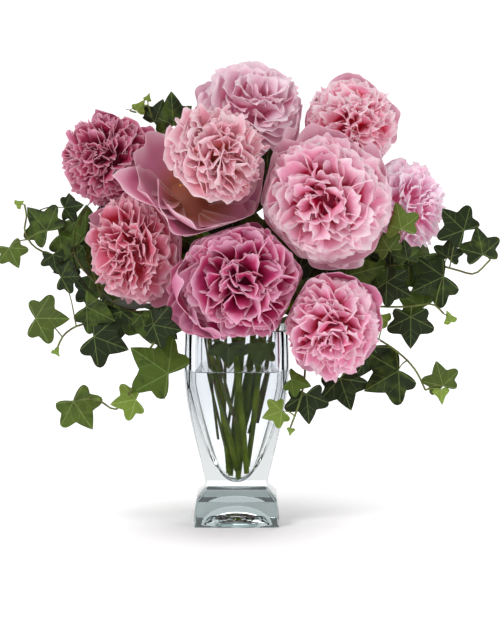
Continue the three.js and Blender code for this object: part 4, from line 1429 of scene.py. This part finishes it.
def leaf_points(entry, draws):
    """Points of one leaf with its map values."""
    outline = YOUNG_OUTLINE if entry[3] <= YOUNG_LENGTH else ADULT_OUTLINE
    flat = LEAF_CENTRE + (outline[RIM] - LEAF_CENTRE) * REACH[:, None]
    wide, far = flat.T
    phase = 2 * math.pi * next(draws)
    turn = np.arctan2(wide, far)
    (low, lows, low_power), (fine, fines, fine_power) = LEAF_WAVES
    wave = low * REACH**low_power * np.sin(lows * turn + phase)
    wave = wave + fine * REACH**fine_power * np.sin(fines * turn + 2 * phase)
    ribs = LEAF_RIBS * np.cos(RIB_TURNS * turn) * REACH
    middle = clear_of_blooms(leaf_place(entry, wide, far, wave + ribs))
    normal = leaf_frame(entry)[4]
    return middle + np.outer(SIDE * LEAF_THICKNESS, normal), wide, far


# %% [markdown]
# The trails keep the model's routes and leaves. Each trail starts at its cut end in the water and
# runs out over the rim and through its points. Some trails have a few more leaves than the plain
# model, behind the blooms, where leaves close the gaps between them.

# %% Trails and leaves
# A trail's mouth is where it crosses the rim, and its lift how far its end is above the lowest
# place that fits. Each leaf: middle x, y, z, length, turn of its tip clockwise from up, the way it
# faces to the right and up, and for some leaves how young they look, from 0 to 1.
TRAILS = {
    "left_high": {
        "mouth": (-40, 12), "lift": 24,
        "route": [
            (-66, 10, 214), (-112, 4, 250), (-150, -4, 276), (-180, -10, 272), (-204, -12, 282),
            (-213, -12, 298), (-211, -12, 312), (-213, -12, 324),
        ],
        "leaves": [
            (-198, -18, 307, 40, 45, -20, 10), (-225, -16, 273, 28, 205, -10, 0, 0.35),
            (-168, -14, 290, 38, 255, -15, 20), (-183, -18, 267, 24, 190, 0, 0),
            (-166, -4, 321, 26, 280, -20, 10), (-144, 2, 312, 30, 350, -30, 15),
            (-152, -10, 264, 30, 200, -20, 0), (-128, 10, 300, 42, 330, -20, 10),
            (-218, -12, 325, 12, 300, -10, 0),
        ],
    },
    "left_middle": {
        "mouth": (-40, -18), "lift": 36,
        "route": [
            (-62, -20, 211), (-100, -24, 218), (-138, -26, 208), (-162, -26, 202), (-174, -26, 193),
            (-180, -25, 181),
        ],
        "leaves": [
            (-142, -22, 243, 44, 345, -20, 5), (-168, -30, 253, 28, 275, -15, 10),
            (-140, -34, 218, 40, 245, -10, 10), (-189, -30, 211, 42, 270, -5, 15, 0.3),
            (-130, -40, 189, 46, 250, -5, 10), (-92, -34, 204, 38, 200, -10, 0),
            (-104, -24, 226, 42, 320, -10, 10), (-122, -22, 246, 42, 290, -15, 10),
            (-56, -14, 236, 42, 320, 0, 10), (-181, -26, 176, 11, 215, 0, 0),
            (-112, -6, 232, 46, 200, -10, 10), (-72, -8, 218, 44, 160, 0, 10),
            (-130, 6, 262, 42, 230, -20, 5), (-118, -30, 206, 40, 170, -10, 5),
        ],
    },
    "left_low": {
        "mouth": (-26, -30), "lift": 48,
        "route": [
            (-52, -46, 204), (-80, -56, 192), (-94, -56, 168), (-105, -54, 142), (-121, -52, 122),
            (-136, -50, 130),
        ],
        "leaves": [
            (-82, -66, 170, 56, 55, 0, 15), (-110, -58, 131, 32, 100, 5, 20, 0.9),
            (-156, -54, 120, 42, 215, -5, 5, 0.25), (-72, -50, 204, 34, 230, -10, 10),
            (-143, -50, 134, 10, 290, 0, 0),
        ],
    },
    "top_left": {
        "mouth": (-10, 30), "lift": 30,
        "route": [
            (-26, 52, 250), (-52, 62, 320), (-66, 54, 380), (-84, 46, 404), (-90, 42, 420),
        ],
        "leaves": [
            (-65, 40, 413, 42, 5, -5, 10), (-80, 44, 412, 30, 340, 0, 10),
            (-98, 42, 419, 18, 325, -10, 0), (-107, 42, 410, 16, 290, -10, 10),
            (-90, 42, 428, 10, 340, 0, 0), (-42, 16, 262, 36, 190, 0, 10),
            (-4, 18, 296, 42, 180, 0, 10), (24, 6, 292, 48, 170, 0, 10),
            (-56, 30, 284, 48, 250, -10, 10), (-60, 34, 318, 44, 300, -10, 10),
        ],
    },
    "right_high": {
        "mouth": (42, 26), "lift": 20,
        "route": [
            (66, 28, 218), (114, 12, 246), (158, -4, 262), (198, -6, 263), (222, -4, 257),
            (240, -2, 253), (256, 0, 267),
        ],
        "leaves": [
            (163, -28, 311, 34, 10, 0, 10, 0.6), (149, -24, 287, 28, 30, -10, 5, 0.3),
            (170, -20, 277, 26, 10, 5, 0), (220, -8, 306, 40, 45, 5, 20),
            (246, -2, 283, 36, 10, 10, 10), (214, -2, 277, 26, 350, 0, 10),
            (104, -4, 258, 46, 330, 0, 10), (126, 0, 268, 46, 40, 10, 10), (186, -8, 262, 34, 160, 10, 5),
            (169, -4, 254, 46, 20, 5, 5), (155, -2, 272, 36, 0, 0, 5),
        ],
    },
    "right_middle": {
        "mouth": (44, 0), "lift": 34,
        "route": [
            (64, 8, 212), (106, 2, 226), (142, -20, 222), (172, -22, 222), (198, -22, 224),
            (208, -22, 215),
        ],
        "leaves": [
            (124, -16, 256, 50, 285, 0, 15), (160, -28, 242, 36, 240, 0, 10),
            (196, -18, 246, 46, 115, 5, 15), (175, -26, 200, 40, 180, 0, 0),
            (64, 2, 258, 46, 350, 0, 10), (214, -22, 211, 16, 20, 5, 10),
            (142, -8, 246, 44, 200, 10, 0), (178, -14, 226, 38, 60, 10, 5), (120, -6, 222, 42, 150, 5, 10),
        ],
    },
    "right_low": {
        "mouth": (43, -24), "lift": 42,
        "route": [
            (62, -12, 206), (112, -2, 198), (140, -20, 190), (165, -26, 174), (180, -28, 158),
            (190, -28, 138),
        ],
        "leaves": [
            (150, -34, 151, 50, 120, 5, 15), (108, -36, 139, 42, 200, -5, 10),
            (205, -30, 152, 32, 15, 5, 5, 0.3), (206, -32, 133, 20, 185, 5, 0),
            (147, -16, 209, 20, 60, 10, 10), (24, -39, 177, 30, 160, 0, 0), (130, -26, 170, 46, 150, 5, 10),
        ],
    },
    "front_right": {
        "mouth": (44, -12), "lift": 28,
        "route": [
            (58, -4, 206), (67, -18, 180), (68, -46, 152), (62, -62, 128), (54, -64, 106),
        ],
        "leaves": [
            (71, -58, 127, 38, 185, 10, 5), (38, -60, 119, 26, 110, 0, 10, 0.85),
            (54, -62, 101, 10, 170, 0, 0), (62, -68, 152, 26, 250, 0, 20),
            (52, 4, 276, 50, 350, 0, 10), (60, -14, 238, 42, 20, 0, 10),
        ],
    },
    "back_left": {
        "mouth": (-30, 38), "lift": 26,
        "route": [
            (-50, 62, 212), (-90, 72, 234), (-130, 62, 256), (-158, 48, 262),
        ],
        "leaves": [
            (-100, 84, 262, 46, 320, -165, 15), (-150, 58, 284, 38, 30, -150, 10),
            (-176, 46, 256, 34, 250, -130, 10), (-154, 34, 298, 44, 0, -20, 10),
            (-152, 32, 264, 46, 200, -20, 0), (-138, 36, 238, 46, 230, -10, 5),
            (-116, 36, 218, 46, 200, 0, 5),
        ],
    },
    "back_middle": {
        "mouth": (8, 38), "lift": 22,
        "route": [
            (6, 66, 216), (2, 88, 256), (-8, 96, 306), (-14, 92, 344),
        ],
        "leaves": [
            (30, 20, 335, 48, 0, 0, 10), (31, -4, 367, 34, 0, 0, 10), (26, 94, 238, 44, 110, 170, 10),
            (-36, 100, 270, 46, 240, 185, 10), (26, 106, 286, 46, 60, 175, 15),
            (-40, 98, 330, 42, 300, 190, 10), (2, 94, 366, 36, 5, 180, 25),
        ],
    },
    "back_right": {
        "mouth": (36, 42), "lift": 32,
        "route": [
            (56, 64, 212), (98, 78, 236), (140, 80, 258), (176, 74, 262),
        ],
        "leaves": [
            (94, 92, 268, 48, 10, 165, 15),
            (136, 88, 230, 44, 130, 160, 5), (148, 86, 288, 42, 40, 150, 15),
            (196, 70, 258, 38, 100, 130, 10),
        ],
    },
    "neck": {
        "mouth": (-34, -40), "lift": 50,
        "route": [
            (-54, -46, 209), (-66, -56, 208),
        ],
        "leaves": [
            (-8, -41, 179, 34, 180, 0, 0), (-72, -74, 208, 36, 260, -10, 10),
        ],
    },
}

leaf_counts = [len(trail["leaves"]) for trail in TRAILS.values()]
print(sum(leaf_counts), "leaves on", len(leaf_counts), "trails")

# %% [markdown]
# An ivy trail is a thin stem, thinner towards its end, with one stalk to every leaf. A stalk starts
# at the nearest step of the stem and bows up a little before it meets the blade. All of it is
# gathered as one piece, because the leaves grow on their trail.

# %% Ivy trails
PETIOLE_RADIUS = 0.8
PETIOLE_TAPER = 0.6
STALK_BOW = 0.12
STALK_STEPS = 4
STALK_END, STALK_LIFT = 0.02, -0.01
STALK_SIDES = 6
STALK_GREEN = 0.7
TRAIL_TAPER = 0.35
TRAIL_SPACING = 6
TRAIL_STEPS = 16
TRAIL_SIDES = 8
TRAIL_SEED = 101
INSIDE_SHARES = (0.8, 0.9)
SMOOTH_LEAF = 50


def stalk_path(start, end, draws):
    """A leaf's stalk, which bows up a little between the trail and the leaf."""
    middle = (start + end) / 2
    bow = np.linalg.norm(end - start) * STALK_BOW
    middle = middle + np.array([(next(draws) - 0.5) * bow, -0.5 * bow, bow])
    return smooth_path([start, middle, end], STALK_STEPS)


def trail_piece(name, seed):
    """A trail with its stalks and leaves, as one mesh with the leaves' map."""
    trail = TRAILS[name]
    draws = seeded(seed)
    mouth = bunch_point(trail["mouth"], MOUTH_LEVEL)
    outside = clear_of_blooms(centripetal([mouth, *trail["route"]], TRAIL_SPACING))
    foot = foot_point(trail["mouth"], IVY_STEM_RADIUS, trail["lift"])
    inside = np.linspace(foot, mouth, TRAIL_STEPS)[:-1]
    path = np.vstack([inside, outside])
    radii = IVY_STEM_RADIUS * (1 - TRAIL_TAPER * np.linspace(0, 1, len(path)))
    gathering = Gathering("u", "v", "stalk", "young", "tone")
    gathering.take(*tube(path, radii, TRAIL_SIDES), u=0, v=0, stalk=1, young=0, tone=next(draws))
    anchors = np.vstack([[foot + (mouth - foot) * share for share in INSIDE_SHARES], outside])
    for entry in trail["leaves"]:
        young = max(float(entry[3] <= YOUNG_LENGTH), *entry[7:], 0)
        tone = next(draws)
        points, wide, far = leaf_points(entry, draws)
        gathering.take(points, LEAF_FACES, u=wide, v=far, stalk=0, young=young, tone=tone)
        end = clear_of_blooms(leaf_place(entry, 0, STALK_END, STALK_LIFT))[0]
        start = anchors[np.argmin(np.linalg.norm(anchors - end, axis=1))]
        stalk = stalk_path(start, end, draws)
        thin = np.linspace(PETIOLE_RADIUS, PETIOLE_RADIUS * PETIOLE_TAPER, len(stalk))
        tubes = tube(stalk, thin, STALK_SIDES)
        gathering.take(*tubes, u=0, v=0, stalk=STALK_GREEN, young=young, tone=tone)
    piece = gathering.piece("ivy", "leaf")
    shade_by_angle(piece, SMOOTH_LEAF)
    return piece


# %% [markdown]
# The blade is dark and a little shiny, with pale veins that run from the stalk's end to the tip of
# each lobe. The leaf's own map gives every point its place on the blade, so a vein is simply the
# points near a line. Young leaves are lighter and yellower, and stems brown to green.

# %% Ivy finish
VEINS = [((0.0, 0.0), (0.0, 0.8)), ((0.0, 0.0), (0.55, 0.29)), ((0.0, 0.0), (0.36, -0.18))]
SIDE_VEINS = [
    ((0.0, 0.3), (0.2, 0.47)), ((0.0, 0.45), (0.12, 0.6)), ((0.22, 0.12), (0.42, 0.13)),
    ((0.2, 0.1), (0.28, 0.38)),
]
VEIN_WIDTH, SIDE_VEIN_WIDTH, VEIN_CORE = 0.017, 0.011, 0.3
LEAF_DARK, LEAF_LIGHT, LEAF_YOUNG = paint(28, 40, 10), paint(70, 90, 24), paint(132, 158, 62)
VEIN_OLD, VEIN_YOUNG = paint(112, 134, 70), paint(180, 198, 120)
STALK_BROWN, STALK_LIGHT = paint(92, 84, 50), paint(108, 124, 62)
LEAF_PATCH_SCALE = 90.0
LEAF_TONE_SHARE, YOUNG_SHARE = 0.7, 0.8
VEIN_TINT, SIDE_VEIN_TINT = 0.5, 0.25
VEIN_SINK, SIDE_VEIN_SINK = 0.8, 0.4


def vein_mask(finish, across, along, lines, width):
    """1 on any of the lines on the leaf's map, falling to 0 at a width from them."""
    mask = None
    for start, end in lines:
        dx, dy = end[0] - start[0], end[1] - start[1]
        square = dx * dx + dy * dy
        share = (across - start[0]) * (dx / square) + (along - start[1]) * (dy / square)
        share = finish.add("Clamp", None, {"Value": share})
        gap = (across - start[0] - share * dx) ** 2 + (along - start[1] - share * dy) ** 2
        near = 1 - (gap**0.5).step(width * VEIN_CORE, width)
        mask = near if mask is None else mask.maths("MAXIMUM", mask, near)
    return mask


def ivy_finish():
    finish = Finish("ivy_leaf")
    across, along = finish.uv("leaf")
    wide = abs(across)
    main = vein_mask(finish, wide, along, VEINS, VEIN_WIDTH)
    fine = vein_mask(finish, wide, along, SIDE_VEINS, SIDE_VEIN_WIDTH)
    patches = finish.noise(finish.place(), LEAF_PATCH_SCALE, 3)
    tone, young, stalk = finish.value("tone"), finish.value("young"), finish.value("stalk")
    lighter = (patches + (tone - 0.5) * LEAF_TONE_SHARE).step(0.3, 0.75)
    colour = finish.mix(lighter, LEAF_DARK, LEAF_LIGHT)
    colour = finish.mix(young * YOUNG_SHARE, colour, LEAF_YOUNG)
    vein = finish.mix(young, VEIN_OLD, VEIN_YOUNG)
    colour = finish.mix(main * VEIN_TINT + fine * SIDE_VEIN_TINT, colour, vein)
    woody = finish.mix(patches.step(0.35, 0.65), STALK_BROWN, STALK_LIGHT)
    colour = finish.mix(stalk, colour, woody)
    relief = patches * 0.25 - main * VEIN_SINK - fine * SIDE_VEIN_SINK
    sockets = {
        "Base Color": colour, "Roughness": 0.46 + patches * 0.2, "Specular IOR Level": 0.22,
        "Subsurface Weight": 0.08, "Subsurface Scale": 0.001,
        "Normal": finish.bump(relief, 0.35, 0.0006),
    }
    return finish.principled(sockets)


ivy_leaf = ivy_finish()
for seed, trail_name in enumerate(TRAILS):
    finished(trail_piece(trail_name, TRAIL_SEED + seed), "ivy_" + trail_name, "ivy_leaf", ivy_leaf)
